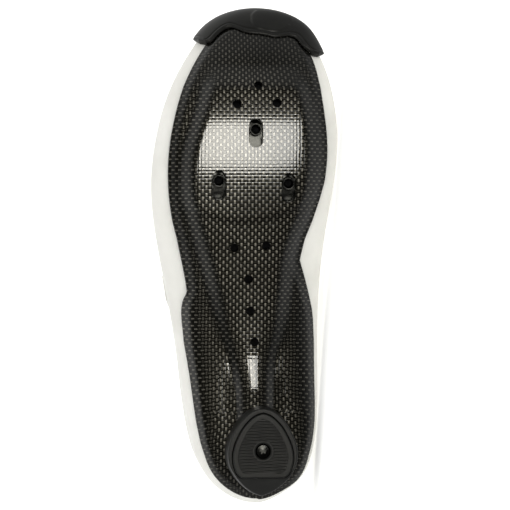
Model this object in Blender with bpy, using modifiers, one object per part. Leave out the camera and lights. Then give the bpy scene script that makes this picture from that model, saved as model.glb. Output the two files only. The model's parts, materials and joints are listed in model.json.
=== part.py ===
"""A road cycling shoe for the right foot, lying on its inner side.

It is modelled upright in the shoe's own frame, in metres: +X to the outer side, +Y to the toe, +Z up,
with the ball and the heel pad on Z = 0. At the end every piece is turned onto the shoe's side.
"""

import math

import bmesh
import bpy
import numpy as np
from mathutils import Matrix, Vector
from mathutils.bvhtree import BVHTree

# Sizes of the last, which the upper and the sole follow
LENGTH = 0.2614
BALL_WIDTH = 0.0985
WAIST_LIFT = 0.013
TOE_SPRING = 0.022
WIDEST_HEIGHT = 0.016
INSTEP_HEIGHT = 0.100
COLLAR_HEIGHT = 0.087
THROAT_WIDTH = 0.034

# Sizes of the pieces
GAP = 0.0003
SEAT_GAP = 0.00042
LINING_GAP = 0.0006
TONGUE_GAP = 0.0009
UPPER_WALL = 0.0020
FLANGE_THICKNESS = 0.0023
SOLE_EDGE_THICKNESS = 0.0014
PLATFORM_HEIGHT = 0.0034
RIDGE_WIDTH = 0.0035
INSOLE_THICKNESS = 0.0036
TONGUE_THICKNESS = 0.0032
TONGUE_HALF_WIDTH = 0.023
STRAP_THICKNESS = 0.0018
STRAP_WIDTH = 0.021
BUMPER_WALL = 0.0020
BUMPER_LIP = 0.0010
BUMPER_LEAST_WALL = 0.0008
BUMPER_EDGE_WALL = 0.0012

# Three-bolt cleat fitting
CLEAT_BOLT_SPACING = 0.0365
CLEAT_BOLT_REACH = 0.0268
CLEAT_TURN = math.radians(2.0)
CLEAT_ALONG = 0.6518
CLEAT_OFFSET = 0.0037
SLOT_RADIUS = 0.0036
SLOT_LENGTH = 0.0150
SLOT_BEHIND_NUT = 0.0020
NUT_RADIUS = 0.00325
NUT_BORE_RADIUS = 0.0021
NUT_LENGTH = 0.0053
NUT_FLANGE_WIDTH = 0.0115
NUT_FLANGE_LENGTH = 0.0190
NUT_FLANGE_THICKNESS = 0.0010
NUT_BEVEL = 0.0004
VENT_RADIUS = 0.0022
HOLE_CUT_LENGTH = 0.030

# Heel base, pad and screw
PAD_FROM_HEEL = 0.0300
PAD_OFFSET = -0.0010
PAD_REACH = 0.0148
PAD_THICKNESS = 0.0047
PAD_BEVEL = 0.0007
BASE_REACH = 0.0183
BASE_FACE_HEIGHT = 0.0012
BASE_DRAFT = 0.0016
BASE_RIM = 0.0009
BASE_LEAST_RIM = 0.0006
SCREW_HEAD_RADIUS = 0.0037
SCREW_HEAD_HEIGHT = 0.0019
SCREW_SHANK_RADIUS = 0.0020
SCREW_LENGTH = 0.0080
SCREW_RECESS = 0.0008
SCREW_DOME = 0.0011
SCREW_POINT = 0.0006
CROSS_WIDTH = 0.0007
CROSS_LENGTH = 0.0038
CROSS_DEPTH = 0.0013
CROSS_TURN = math.radians(35)
COUNTERSINK = 0.0006

# How the shoe lies: turned onto its inner side, then rolled and pitched to where it settles
REST_ROLL = math.radians(-0.101)
REST_PITCH = math.radians(-3.776)

# The last is a stack of rays: between the two poles a ray runs straight across, beyond them rays fan out
HEEL_POLE = 0.13
TOE_POLE = 0.84

# along: share of LENGTH; lateral and medial: reach of the outline from the axis, as shares of BALL_WIDTH
OUTLINE = [
    (0.0000, 0.0000, 0.0000),
    (0.0172, 0.1570, 0.1290),
    (0.0455, 0.2493, 0.2276),
    (0.0859, 0.3144, 0.2873),
    (0.1264, 0.3490, 0.3130),
    (0.2073, 0.3902, 0.3300),
    (0.3286, 0.4390, 0.3310),
    (0.4500, 0.4986, 0.3415),
    (0.5713, 0.5583, 0.3740),
    (0.6522, 0.5745, 0.4065),
    (0.7331, 0.5528, 0.4228),
    (0.8140, 0.4986, 0.4085),
    (0.8746, 0.4282, 0.3740),
    (0.9272, 0.3450, 0.3190),
    (0.9656, 0.2600, 0.2560),
    (0.9859, 0.1750, 0.1790),
    (1.0000, 0.0000, 0.0000),
]

# waist and spring: height of the last's bottom as shares of WAIST_LIFT and TOE_SPRING; widest: height of
# the widest line over the bottom as a share of WIDEST_HEIGHT; top: height of the closed dome as a share of
# INSTEP_HEIGHT; lower and upper: the superellipse powers of the section under and over its widest line
SECTIONS = [
    # along, waist, spring, widest, top, lower, upper
    (0.00, 1.20, 0.00, 0.90, 1.62, 2.4, 3.2),
    (0.10, 0.98, 0.00, 0.90, 1.60, 2.5, 3.2),
    (0.20, 0.98, 0.00, 0.90, 1.44, 2.5, 3.2),
    (0.30, 0.98, 0.00, 1.01, 1.20, 2.4, 2.7),
    (0.40, 0.83, 0.00, 1.14, 0.96, 2.4, 2.4),
    (0.50, 0.54, 0.00, 1.18, 0.79, 2.5, 2.1),
    (0.60, 0.22, 0.00, 1.00, 0.67, 2.9, 2.2),
    (0.66, 0.07, 0.00, 0.92, 0.61, 3.1, 2.3),
    (0.72, 0.00, 0.00, 0.88, 0.565, 3.2, 2.3),
    (0.78, 0.00, 0.05, 0.86, 0.525, 3.2, 2.3),
    (0.85, 0.00, 0.23, 0.86, 0.490, 3.1, 2.3),
    (0.92, 0.00, 0.53, 0.86, 0.468, 3.0, 2.3),
    (1.00, 0.00, 1.00, 0.86, 0.462, 3.0, 2.3),
]

# Edge of the carbon sole as an angle of the section in degrees: -90 is the middle of the bottom, 0 the
# widest line
SOLE_EDGE = [
    # along, lateral, medial
    (0.000, -32.0, -30.0),
    (0.045, -34.5, -26.5),
    (0.100, -37.0, -30.0),
    (0.170, -35.5, -27.5),
    (0.250, -35.3, -29.0),
    (0.330, -33.5, -28.8),
    (0.375, -35.5, -31.0),
    (0.395, -37.2, -33.2),
    (0.415, -41.5, -36.8),
    (0.431, -47.8, -39.8),
    (0.457, -48.2, -44.8),
    (0.496, -47.8, -52.5),
    (0.540, -47.3, -50.0),
    (0.576, -45.6, -45.0),
    (0.617, -44.8, -41.2),
    (0.656, -44.2, -38.2),
    (0.700, -43.2, -38.6),
    (0.740, -42.6, -40.2),
    (0.775, -42.7, -42.2),
    (0.815, -42.5, -43.4),
    (0.857, -41.8, -43.0),
    (0.906, -40.4, -39.8),
    (1.000, -38.0, -38.0),
]
LATERAL_NOTCH = 0.431
MEDIAL_NOTCH = 0.496
EDGE_TAPER = math.radians(12)
MARGIN_ANGLE = math.radians(-52)
MARGIN_INSET = math.radians(6)

# Crest of the raised platform under the foot, as shares of BALL_WIDTH; height: share of PLATFORM_HEIGHT
PLATFORM = [
    # along, lateral, medial, height
    (0.212, 0.095, 0.040, 0.00),
    (0.254, 0.092, 0.034, 0.50),
    (0.309, 0.120, 0.046, 1.00),
    (0.349, 0.142, 0.064, 1.00),
    (0.415, 0.179, 0.080, 1.00),
    (0.449, 0.201, 0.088, 1.00),
    (0.515, 0.251, 0.112, 1.00),
    (0.563, 0.289, 0.155, 1.00),
    (0.601, 0.320, 0.196, 1.00),
    (0.657, 0.338, 0.225, 1.00),
    (0.734, 0.312, 0.226, 1.00),
    (0.782, 0.270, 0.211, 1.00),
    (0.832, 0.231, 0.182, 0.80),
    (0.880, 0.195, 0.130, 0.00),
]
CREST_LEAST = 0.05
CREST_MOST = 0.62
PLAIN_CREST = 0.42

# Collar line and half width of the throat
COLLAR = [
    # along, height as a share of COLLAR_HEIGHT
    (0.00, 1.000),
    (0.05, 0.975),
    (0.11, 0.900),
    (0.17, 0.825),
    (0.23, 0.800),
    (0.29, 0.835),
    (0.34, 0.915),
    (0.39, 1.030),
    (0.45, 1.160),
]
THROAT_END = 0.690
THROAT_ROUNDING = 0.672
COLLAR_OVERLAP = 0.04
THROAT = [
    # along, half gap as a share of THROAT_WIDTH
    (0.34, 0.62),
    (0.40, 0.52),
    (0.50, 0.39),
    (0.60, 0.30),
    (0.66, 0.24),
    (0.68, 0.17),
    (0.69, 0.00),
]

# Inner edge of the toe bumper, seen from below: turn about the toe pole in degrees, reach as a share of
# the ray
BUMPER_EDGE = [
    (-64.0, 0.930),
    (-61.0, 0.870),
    (-58.0, 0.840),
    (-51.0, 0.796),
    (-42.0, 0.785),
    (-36.0, 0.740),
    (-28.0, 0.666),
    (-16.0, 0.648),
    (0.0, 0.660),
    (10.0, 0.716),
    (18.0, 0.800),
    (28.0, 0.815),
    (38.0, 0.800),
    (45.0, 0.840),
    (48.5, 0.930),
]
BUMPER_TOP_ANGLE = 24.0
BUMPER_END_ANGLE = -8.0
BUMPER_STEP = math.radians(2.5)

# Rows of the bumper: under the sole from its inner edge to the sole's edge, then up the upper; wall: share
# of the way from the lip's height to the wall's
BUMPER_UNDER = [
    # place, wall
    (0.00, 0.00),
    (0.55, 0.25),
    (1.00, 0.50),
]
BUMPER_OVER = [
    # place, wall
    (0.0, 0.60),
    (0.2, 0.70),
    (0.4, 0.80),
    (0.6, 0.90),
    (0.8, 1.00),
    (1.0, 1.00),
]

# Insole: rows from its middle to its edge, thickness as a share of INSOLE_THICKNESS
INSOLE_ROWS = [
    # place, thickness
    (0.00, 1.0),
    (0.40, 1.0),
    (0.64, 1.0),
    (0.80, 0.9),
    (0.91, 0.7),
    (1.00, 0.4),
]
INSOLE_EDGE_LOW = math.radians(-40)
INSOLE_EDGE_HIGH = math.radians(-30)

# Tongue: half width as a share of TONGUE_HALF_WIDTH
TONGUE = [
    # along, half width
    (0.352, 0.56),
    (0.420, 0.80),
    (0.600, 0.86),
    (0.722, 0.62),
]
TONGUE_EDGE_THINNING = 0.55

# Vent holes: place along the shoe as a share of LENGTH and across it as a share of BALL_WIDTH
VENTS = [
    (0.8390, 0.012),
    (0.8016, 0.126),
    (0.8038, -0.085),
    (0.5233, 0.138),
    (0.5275, -0.031),
    (0.4601, 0.061),
    (0.3952, 0.049),
    (0.3319, 0.027),
]

# Outlines seen from below, as reach from the screw by turn from the toe: base as a share of BASE_REACH,
# pad as a share of PAD_REACH
HEEL_OUTLINES = [
    # turn, base, pad
    (0, 1.264, 1.324),
    (12, 1.232, 1.262),
    (24, 1.165, 1.168),
    (40, 1.075, 1.070),
    (58, 1.022, 1.005),
    (75, 1.020, 1.010),
    (90, 1.040, 1.045),
    (105, 1.060, 1.105),
    (120, 1.085, 1.165),
    (132, 1.105, 1.215),
    (139, 1.130, 1.205),
    (150, 1.180, 1.084),
    (165, 1.275, 0.970),
    (180, 1.380, 0.940),
]
BASE_REAR_LINE = -0.0139
BASE_REAR_SLOPE = 1.05

# Straps: place along the throat and slant as shares of LENGTH, width as a share of STRAP_WIDTH, ends in
# degrees of the section
STRAPS = [
    # name, along, slant, width share, medial end, lateral end
    ("strap_front", 0.635, 0.020, 0.90, 28.0, 25.0),
    ("strap_middle", 0.530, 0.022, 0.95, 26.0, 22.0),
    ("strap_top", 0.425, 0.024, 1.25, 24.0, 18.0),
]

STRAP_TIP = 0.10
STRAP_TIP_WIDTH = 0.55

# Counts that set how finely the pieces are faceted
SIDE_STATIONS = 34
UPPER_ROWS = 12
FLANGE_ROWS = 6
HEEL_STEPS = 32
ROUND_STEPS = 16
VENT_STEPS = 12
INSOLE_STATIONS = 22
TONGUE_ROWS = 11
TONGUE_COLUMNS = 9
STRAP_ROWS = 17
STRAP_COLUMNS = 5
BUMPER_STATIONS = 33


def spline(places, values):
    """A smooth curve through the points: the natural cubic spline, with no bend at its two ends."""
    x, y = np.array(places, float), np.array(values, float)
    h = np.diff(x)
    n = len(x)
    system, right = np.eye(n), np.zeros(n)
    for i in range(1, n - 1):
        system[i, i - 1 : i + 2] = h[i - 1], 2 * (h[i - 1] + h[i]), h[i]
        right[i] = 6 * ((y[i + 1] - y[i]) / h[i] - (y[i] - y[i - 1]) / h[i - 1])
    bend = np.linalg.solve(system, right)

    def at(place):
        place = np.clip(place, x[0], x[-1])
        k = np.clip(np.searchsorted(x, place) - 1, 0, n - 2)
        left, after = place - x[k], x[k + 1] - place
        cubic = (bend[k] * after**3 + bend[k + 1] * left**3) / (6 * h[k])
        return (
            cubic
            + (y[k] / h[k] - bend[k] * h[k] / 6) * after
            + (y[k + 1] / h[k] - bend[k + 1] * h[k] / 6) * left
        )

    return at


def column(table, k):
    return [row[k] for row in table]


def turn_of_share(along):
    """Half a turn from heel to toe: along = (1 - cos(pi s)) / 2, so an outline is smooth at its two ends."""
    return np.arccos(np.clip(1 - 2 * np.asarray(along, float), -1, 1)) / np.pi


OUTLINE_TURNS = turn_of_share(column(OUTLINE, 0))
lateral_reach = spline(OUTLINE_TURNS, column(OUTLINE, 1))
medial_reach = spline(OUTLINE_TURNS, column(OUTLINE, 2))
waist_share = spline(column(SECTIONS, 0), column(SECTIONS, 1))
spring_share = spline(column(SECTIONS, 0), column(SECTIONS, 2))
widest_share = spline(column(SECTIONS, 0), column(SECTIONS, 3))
top_share = spline(column(SECTIONS, 0), column(SECTIONS, 4))
lower_power = spline(column(SECTIONS, 0), column(SECTIONS, 5))
upper_power = spline(column(SECTIONS, 0), column(SECTIONS, 6))


def outline(turn):
    """The outline from above at a share of a full turn: 0 heel, 0.25 lateral, 0.5 toe, 0.75 medial."""
    turn = np.asarray(turn, float) % 1.0
    half = np.where(turn <= 0.5, 2 * turn, 2 - 2 * turn)
    y = LENGTH * (1 - np.cos(np.pi * half)) / 2
    x = BALL_WIDTH * np.where(turn <= 0.5, lateral_reach(half), -medial_reach(half))
    return x, y


def spine(y):
    """The middle line between the two sides of the outline."""
    half = turn_of_share(y / LENGTH)
    return BALL_WIDTH * (lateral_reach(half) - medial_reach(half)) / 2


def bottom(y):
    """Height of the last's bottom, over the stack of the sole."""
    share = y / LENGTH
    stack = PLATFORM_HEIGHT + FLANGE_THICKNESS + GAP
    return stack + WAIST_LIFT * waist_share(share) + TOE_SPRING * spring_share(share)


def last(turn, angle):
    """A point of the last: its ray, then the angle of a superellipse, -90 bottom, 0 widest and 90 top."""
    ox, oy = outline(turn)
    cy = np.clip(oy, HEEL_POLE * LENGTH, TOE_POLE * LENGTH)
    cx = spine(cy)
    share = oy / LENGTH
    power = 2 / np.where(angle < 0, lower_power(share), upper_power(share))
    reach = np.sign(np.cos(angle)) * np.abs(np.cos(angle)) ** power
    rise = np.abs(np.sin(angle)) ** power
    y = cy + (oy - cy) * reach
    widest = bottom(oy) + WIDEST_HEIGHT * widest_share(share)
    end = np.where(angle < 0, bottom(y), INSTEP_HEIGHT * top_share(y / LENGTH))
    return np.stack([cx + (ox - cx) * reach, y, widest + (end - widest) * rise], -1)


def skin(turn, angle, out=0.0):
    """The last's surface moved outwards along its normal by out."""
    turn, angle = np.broadcast_arrays(
        np.asarray(turn, float), np.asarray(angle, float)
    )
    step = 1e-4
    along = last(turn + step, angle) - last(turn - step, angle)
    across = last(turn, angle + step) - last(turn, angle - step)
    normal = np.cross(along, across)
    size = np.linalg.norm(normal, axis=-1, keepdims=True)
    pole = np.stack([0 * angle, 0 * angle, np.sign(angle)], -1)
    normal = np.where(size > 1e-13, normal / np.maximum(size, 1e-13), pole)
    return last(turn, angle) + normal * np.asarray(out)[..., None]


def angle_at_reach(turn, reach, upper=False):
    """The section's angle at a share of the ray, on its lower or upper half."""
    share = outline(turn)[1] / LENGTH
    power = upper_power(share) if upper else lower_power(share)
    angle = np.arccos(np.clip(reach, 0, 1) ** (power / 2))
    return angle if upper else -angle


def turn_at(along, lateral=True):
    """The full-turn share of the outline at a share of LENGTH, on one side."""
    half = turn_of_share(along) / 2
    return half if lateral else 1 - half


def side_of(turn):
    return np.asarray(turn) % 1.0 <= 0.5


def stations(extra=(), count=SIDE_STATIONS):
    """Shares of LENGTH at even steps along the sides of the outline, with extra ones moved in."""
    fine = np.linspace(0, 0.5, 2001)
    x, y = outline(fine)
    run = np.concatenate([[0], np.cumsum(np.hypot(np.diff(x), np.diff(y)))])
    even = np.interp(np.linspace(0, run[-1], count + 1), run, y / LENGTH)
    for wanted in extra:
        even[np.argmin(np.abs(even - wanted))] = wanted
    return even


def around(shares):
    """Full turns at those stations on both sides, heel and toe once each."""
    half = turn_of_share(shares) / 2
    return np.concatenate([half, 1 - half[-2:0:-1]])


def sole_edge(turn):
    """Angle of the carbon sole's edge on each ray, in radians."""
    share = outline(turn)[1] / LENGTH
    lateral = np.interp(share, column(SOLE_EDGE, 0), column(SOLE_EDGE, 1))
    medial = np.interp(share, column(SOLE_EDGE, 0), column(SOLE_EDGE, 2))
    return np.radians(np.where(side_of(turn), lateral, medial))


def sole_thickness(turn, angle):
    """The plate's thickness, which thins towards its edge."""
    inside = np.clip((sole_edge(turn) - angle) / EDGE_TAPER, 0, 1)
    eased = inside * inside * (3 - 2 * inside)
    return SOLE_EDGE_THICKNESS + (FLANGE_THICKNESS - SOLE_EDGE_THICKNESS) * eased


def platform_height(y):
    share = y / LENGTH
    inside = np.interp(share, column(PLATFORM, 0), column(PLATFORM, 3))
    return PLATFORM_HEIGHT * np.where(share < PLATFORM[0][0], 0.0, inside)


def ray_reach(turn):
    """Length of a ray across the shoe, which is never taken as less than twice a ridge's width."""
    ox, oy = outline(turn)
    cy = np.clip(oy, HEEL_POLE * LENGTH, TOE_POLE * LENGTH)
    return np.maximum(np.hypot(ox - spine(cy), oy - cy), 2 * RIDGE_WIDTH)


def platform_reach(turn):
    """Share of the ray at which the platform's crest lies."""
    ox, oy = outline(turn)
    cy = np.clip(oy, HEEL_POLE * LENGTH, TOE_POLE * LENGTH)
    share = oy / LENGTH
    lateral = np.interp(share, column(PLATFORM, 0), column(PLATFORM, 1))
    medial = -np.interp(share, column(PLATFORM, 0), column(PLATFORM, 2))
    x = BALL_WIDTH * np.where(side_of(turn), lateral, medial)
    crest = np.clip(np.abs(x - spine(cy)) / ray_reach(turn), CREST_LEAST, CREST_MOST)
    plain = np.interp(share, [HEEL_POLE, PLATFORM[0][0], PLATFORM[-2][0], PLATFORM[-1][0]], [1, 0, 0, 1])
    return crest + (PLAIN_CREST - crest) * plain


def new_object(name, mesh, material, collection):
    obj = bpy.data.objects.new(name, mesh)
    obj.data.materials.append(material)
    collection.objects.link(obj)
    return obj


def mesh_from(name, points, faces):
    """A mesh with shared corners merged, empty faces removed and faces pointing outwards."""
    mesh = bpy.data.meshes.new(name)
    mesh.from_pydata([tuple(p) for p in points], [], faces)
    work = bmesh.new()
    work.from_mesh(mesh)
    bmesh.ops.remove_doubles(work, verts=work.verts, dist=1e-6)
    bmesh.ops.dissolve_degenerate(work, edges=work.edges, dist=1e-7)
    bmesh.ops.recalc_face_normals(work, faces=work.faces)
    work.to_mesh(mesh)
    work.free()
    mesh.shade_smooth()
    return mesh


def grid_faces(rows, columns, first=0, wrap=False):
    """Quads of a grid of points stored row by row; wrap joins the last column to the first."""
    faces = []
    for j in range(rows - 1):
        for i in range(columns if wrap else columns - 1):
            k = (i + 1) % columns
            a, b = first + j * columns, first + (j + 1) * columns
            faces.append((a + i, a + k, b + k, b + i))
    return faces


def plate_mesh(name, upper, lower):
    """A closed plate from two grids of rows running outwards from the middle, joined round the edge."""
    rows, columns = upper.shape[:2]
    points = np.concatenate([upper.reshape(-1, 3), lower.reshape(-1, 3)])
    half = rows * columns
    faces = grid_faces(rows, columns, 0, True) + grid_faces(rows, columns, half, True)
    rim = (rows - 1) * columns
    for i in range(columns):
        k = (i + 1) % columns
        faces.append((rim + i, rim + k, half + rim + k, half + rim + i))
    return mesh_from(name, points, faces)


def patch_mesh(name, upper, lower):
    """A closed sheet from two open grids, joined along their four sides."""
    rows, columns = upper.shape[:2]
    points = np.concatenate([upper.reshape(-1, 3), lower.reshape(-1, 3)])
    half = rows * columns
    faces = grid_faces(rows, columns) + grid_faces(rows, columns, half)
    border = [j * columns for j in range(rows)]
    border += [(rows - 1) * columns + i for i in range(1, columns)]
    border += [j * columns + columns - 1 for j in range(rows - 2, -1, -1)]
    border += [i for i in range(columns - 2, 0, -1)]
    for a, b in zip(border, border[1:] + border[:1]):
        faces.append((a, b, half + b, half + a))
    return mesh_from(name, points, faces)


def ring_mesh(name, rings):
    """A closed lathe-like solid: rings of equal count, from one middle point to another."""
    count = rings.shape[1]
    return mesh_from(name, rings.reshape(-1, 3), grid_faces(len(rings), count, 0, True))


def material(name, colour, roughness, metallic=0.0):
    made = bpy.data.materials.new(name)
    made.use_nodes = True
    shader = made.node_tree.nodes["Principled BSDF"]
    shader.inputs["Base Color"].default_value = (*colour, 1.0)
    shader.inputs["Roughness"].default_value = roughness
    shader.inputs["Metallic"].default_value = metallic
    return made


def cut(obj, cutter):
    """A Boolean cut that stays on the object as a modifier."""
    modifier = obj.modifiers.new("cut_" + cutter.name, "BOOLEAN")
    modifier.operation = "DIFFERENCE"
    modifier.object = cutter


def make_upper(parts, finish):
    """One hollow wall: an open sheet up the sides to the collar, the throat and the vamp, then thickened."""
    turns = around(stations((THROAT_END, THROAT_ROUNDING, LATERAL_NOTCH, MEDIAL_NOTCH)))
    margin = lasting_margin(turns)
    edge = upper_edge(turns)
    share = np.linspace(0, 1, UPPER_ROWS)[:, None]
    angle = margin + (edge - margin) * share
    points = skin(turns[None, :], angle)
    faces = grid_faces(UPPER_ROWS, len(turns), 0, True)
    mesh = mesh_from("upper", points.reshape(-1, 3), faces)
    obj = new_object("upper", mesh, finish, parts)
    shell = obj.modifiers.new("wall", "SOLIDIFY")
    shell.thickness = UPPER_WALL
    shell.offset = -1
    shell.use_even_offset = True
    return obj


def lasting_margin(turn):
    """Angle at which the upper's turned-in margin ends, well inside the sole's edge."""
    return np.minimum(MARGIN_ANGLE, sole_edge(turn) - MARGIN_INSET)


def upper_edge(turn):
    """Angle of the upper's top edge: 90 degrees on the closed vamp, the throat's edge or the collar line."""
    ox, oy = outline(turn)
    share = oy / LENGTH
    half_gap = THROAT_WIDTH * np.interp(share, column(THROAT, 0), column(THROAT, 1))
    throat = angle_at_reach(turn, half_gap / ray_reach(turn), upper=True)
    open_here = (share > THROAT[0][0] - COLLAR_OVERLAP) & (share < THROAT_END - 1e-6)
    throat = np.where(open_here, throat, math.pi / 2)
    widest = bottom(oy) + WIDEST_HEIGHT * widest_share(share)
    line = COLLAR_HEIGHT * spline(column(COLLAR, 0), column(COLLAR, 1))(share)
    top = INSTEP_HEIGHT * top_share(share)
    rise = np.clip((line - widest) / (top - widest), 0, 1)
    collar = np.arcsin(rise ** (upper_power(share) / 2))
    collar = np.where(share > COLLAR[-1][0], math.pi / 2, collar)
    return np.minimum(throat, collar)


def sole_angles(turns):
    """Angles of the sole's rows: middle, platform, its crest, its foot, then the flange to the edge."""
    crest = platform_reach(turns)
    rows = [np.full_like(turns, -math.pi / 2)]
    rows += [angle_at_reach(turns, crest * k) for k in (0.5, 1.0)]
    start = angle_at_reach(turns, crest + RIDGE_WIDTH / ray_reach(turns))
    edge = sole_edge(turns)
    rows += [start + (edge - start) * k for k in np.linspace(0, 1, FLANGE_ROWS + 1)]
    return np.array(rows)


def make_outsole(parts, cutters, finish):
    """The carbon plate: it follows the last's bottom, cups the heel and carries the raised platform."""
    turns = around(stations((LATERAL_NOTCH, MEDIAL_NOTCH)))
    angle = sole_angles(turns)
    upper = skin(turns[None, :], angle, SEAT_GAP)
    lower = skin(turns[None, :], angle, SEAT_GAP + sole_thickness(turns[None, :], angle))
    lower[:3, :, 2] -= platform_height(lower[:3, :, 1])
    obj = new_object("outsole", plate_mesh("outsole", upper, lower), finish, parts)
    for k, (x, y) in enumerate(cleat_points()):
        cut(obj, slot_cutter(f"slot_{k}", x, y - SLOT_BEHIND_NUT, cutters))
    for k, (along, across) in enumerate(VENTS):
        cut(obj, vent_cutter(f"vent_{k}", BALL_WIDTH * across, LENGTH * along, cutters))
    return obj


def cleat_points():
    """Bolt centres of the three-bolt pattern: front, rear lateral, rear medial."""
    pattern = [(0.0, CLEAT_BOLT_REACH), (CLEAT_BOLT_SPACING / 2, 0.0), (-CLEAT_BOLT_SPACING / 2, 0.0)]
    c, s = math.cos(CLEAT_TURN), math.sin(CLEAT_TURN)
    return [
        (CLEAT_OFFSET + c * x - s * y, LENGTH * CLEAT_ALONG + s * x + c * y)
        for x, y in pattern
    ]


def floor_height(x, y):
    """Height of the last's bottom at a point of the plan, between the poles."""
    widest = bottom(y) + WIDEST_HEIGHT * widest_share(y / LENGTH)
    half = turn_of_share(y / LENGTH)
    span = BALL_WIDTH * (lateral_reach(half) + medial_reach(half)) / 2
    reach = np.clip(np.abs(x - spine(y)) / span, 0, 0.999)
    power = lower_power(y / LENGTH)
    return widest - (widest - bottom(y)) * (1 - reach**power) ** (1 / power)


def floor_frame(x, y):
    """Place and tilt of the last's bottom there: Z along its normal, up, and Y towards the toe."""
    step = 0.004
    along = Vector((0, 2 * step, floor_height(x, y + step) - floor_height(x, y - step)))
    along.normalize()
    across = Vector((1, 0, 0))
    up = across.cross(along)
    turned = Matrix((across, along, up)).transposed().to_4x4()
    return Matrix.Translation((x, y, float(floor_height(x, y)))) @ turned


def slot_cutter(name, x, y, cutters):
    """A stadium through the plate: the hull of the corners of two round bars."""
    work = bmesh.new()
    half = SLOT_LENGTH / 2 - SLOT_RADIUS
    for end in (-half, half):
        add_bar(work, SLOT_RADIUS, HOLE_CUT_LENGTH, Matrix.Translation((0, end, 0)), ROUND_STEPS)
    corners = [v.co.copy() for v in work.verts]
    work.clear()
    for corner in corners:
        work.verts.new(corner)
    bmesh.ops.convex_hull(work, input=work.verts)
    bmesh.ops.delete(work, geom=[v for v in work.verts if not v.link_faces], context="VERTS")
    bmesh.ops.recalc_face_normals(work, faces=work.faces)
    return tool_from(work, name, floor_frame(x, y), cutters)


def vent_cutter(name, x, y, cutters):
    work = bmesh.new()
    add_bar(work, VENT_RADIUS, HOLE_CUT_LENGTH, Matrix.Identity(4), VENT_STEPS)
    return tool_from(work, name, floor_frame(x, y), cutters)


def add_bar(work, radius, length, place, steps):
    """A round bar along Z with its middle at the place."""
    bmesh.ops.create_cone(
        work, cap_ends=True, segments=steps, radius1=radius, radius2=radius, depth=length, matrix=place
    )


def tool_from(work, name, place, cutters):
    """A solid for a Boolean, which isn't part of the shoe itself."""
    mesh = bpy.data.meshes.new(name)
    work.to_mesh(mesh)
    work.free()
    obj = bpy.data.objects.new(name, mesh)
    obj.matrix_world = place
    obj.hide_render = True
    obj.display_type = "WIRE"
    cutters.objects.link(obj)
    return obj


def make_insole(parts, finish):
    """The removable footbed, lying on the turned-in margin inside the upper."""
    turns = around(stations((), INSOLE_STATIONS))
    edge = np.clip(sole_edge(turns), INSOLE_EDGE_LOW, INSOLE_EDGE_HIGH)
    share = np.array(column(INSOLE_ROWS, 0))[:, None]
    angle = -math.pi / 2 + (edge + math.pi / 2) * share
    low = skin(turns[None, :], angle, -(UPPER_WALL + LINING_GAP))
    thick = INSOLE_THICKNESS * np.array(column(INSOLE_ROWS, 1))[:, None] + 0 * angle
    high = skin(turns[None, :], angle, -(UPPER_WALL + LINING_GAP) - thick)
    return new_object("insole", plate_mesh("insole", high, low), finish, parts)


def over_the_top(along, across, out):
    """Points over the dome: across runs from -1, the medial widest line, over 0, the top, to 1."""
    lateral = across >= 0
    turn = np.where(lateral, turn_at(along), turn_at(along, lateral=False))
    return skin(turn, math.pi / 2 * (1 - np.abs(across)), out)


def make_tongue(parts, finish):
    """A padded sheet under the throat, from below the vamp to above the collar."""
    along = np.linspace(TONGUE[0][0], TONGUE[-1][0], TONGUE_ROWS)[:, None]
    side = np.linspace(-1, 1, TONGUE_COLUMNS)[None, :]
    taper = np.interp(along, column(TONGUE, 0), column(TONGUE, 1))
    reach = side * TONGUE_HALF_WIDTH * taper
    half = turn_of_share(along)
    span = BALL_WIDTH * (lateral_reach(half) + medial_reach(half)) / 2
    angle = np.arccos((np.abs(reach) / span) ** (upper_power(along) / 2))
    across = np.sign(side) * (1 - angle / (math.pi / 2))
    thin = 1 - TONGUE_EDGE_THINNING * np.abs(side) ** 4 + 0 * along
    outer = over_the_top(along + 0 * side, across, -(UPPER_WALL + TONGUE_GAP) + 0 * across)
    inner = over_the_top(along + 0 * side, across, -(UPPER_WALL + TONGUE_GAP) - TONGUE_THICKNESS * thin)
    return new_object("tongue", patch_mesh("tongue", outer, inner), finish, parts)


def make_strap(name, place, slant, width, medial_end, lateral_end, parts, finish):
    """A flat hook-and-loop strap lying over the throat, with its free end rounded on the lateral side."""
    ends = -(1 - medial_end / 90), 1 - lateral_end / 90
    run = np.linspace(0, 1, STRAP_ROWS)[None, :]
    across = ends[0] + (ends[1] - ends[0]) * run
    side = np.linspace(-1, 1, STRAP_COLUMNS)[:, None]
    tip = np.clip((1 - run) / STRAP_TIP, 0, 1)
    rounding = np.maximum(np.sqrt(1 - (1 - tip) ** 2), STRAP_TIP_WIDTH)
    half_width = STRAP_WIDTH * width / 2 * rounding
    along = place + slant * (run - 0.5) + side * half_width / LENGTH
    inner = over_the_top(along, across + 0 * side, LINING_GAP + 0 * along)
    outer = over_the_top(along, across + 0 * side, LINING_GAP + STRAP_THICKNESS + 0 * along)
    return new_object(name, patch_mesh(name, outer, inner), finish, parts)


def toe_turn(degrees):
    """Full-turn share of the ray that leaves the toe pole at that angle, lateral positive."""
    turns = np.linspace(0.30, 0.70, 4001)
    x, y = outline(turns)
    pole = TOE_POLE * LENGTH
    bearing = np.degrees(np.arctan2(x - spine(pole), y - pole))
    return np.interp(-np.asarray(degrees, float), -bearing, turns)


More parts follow.
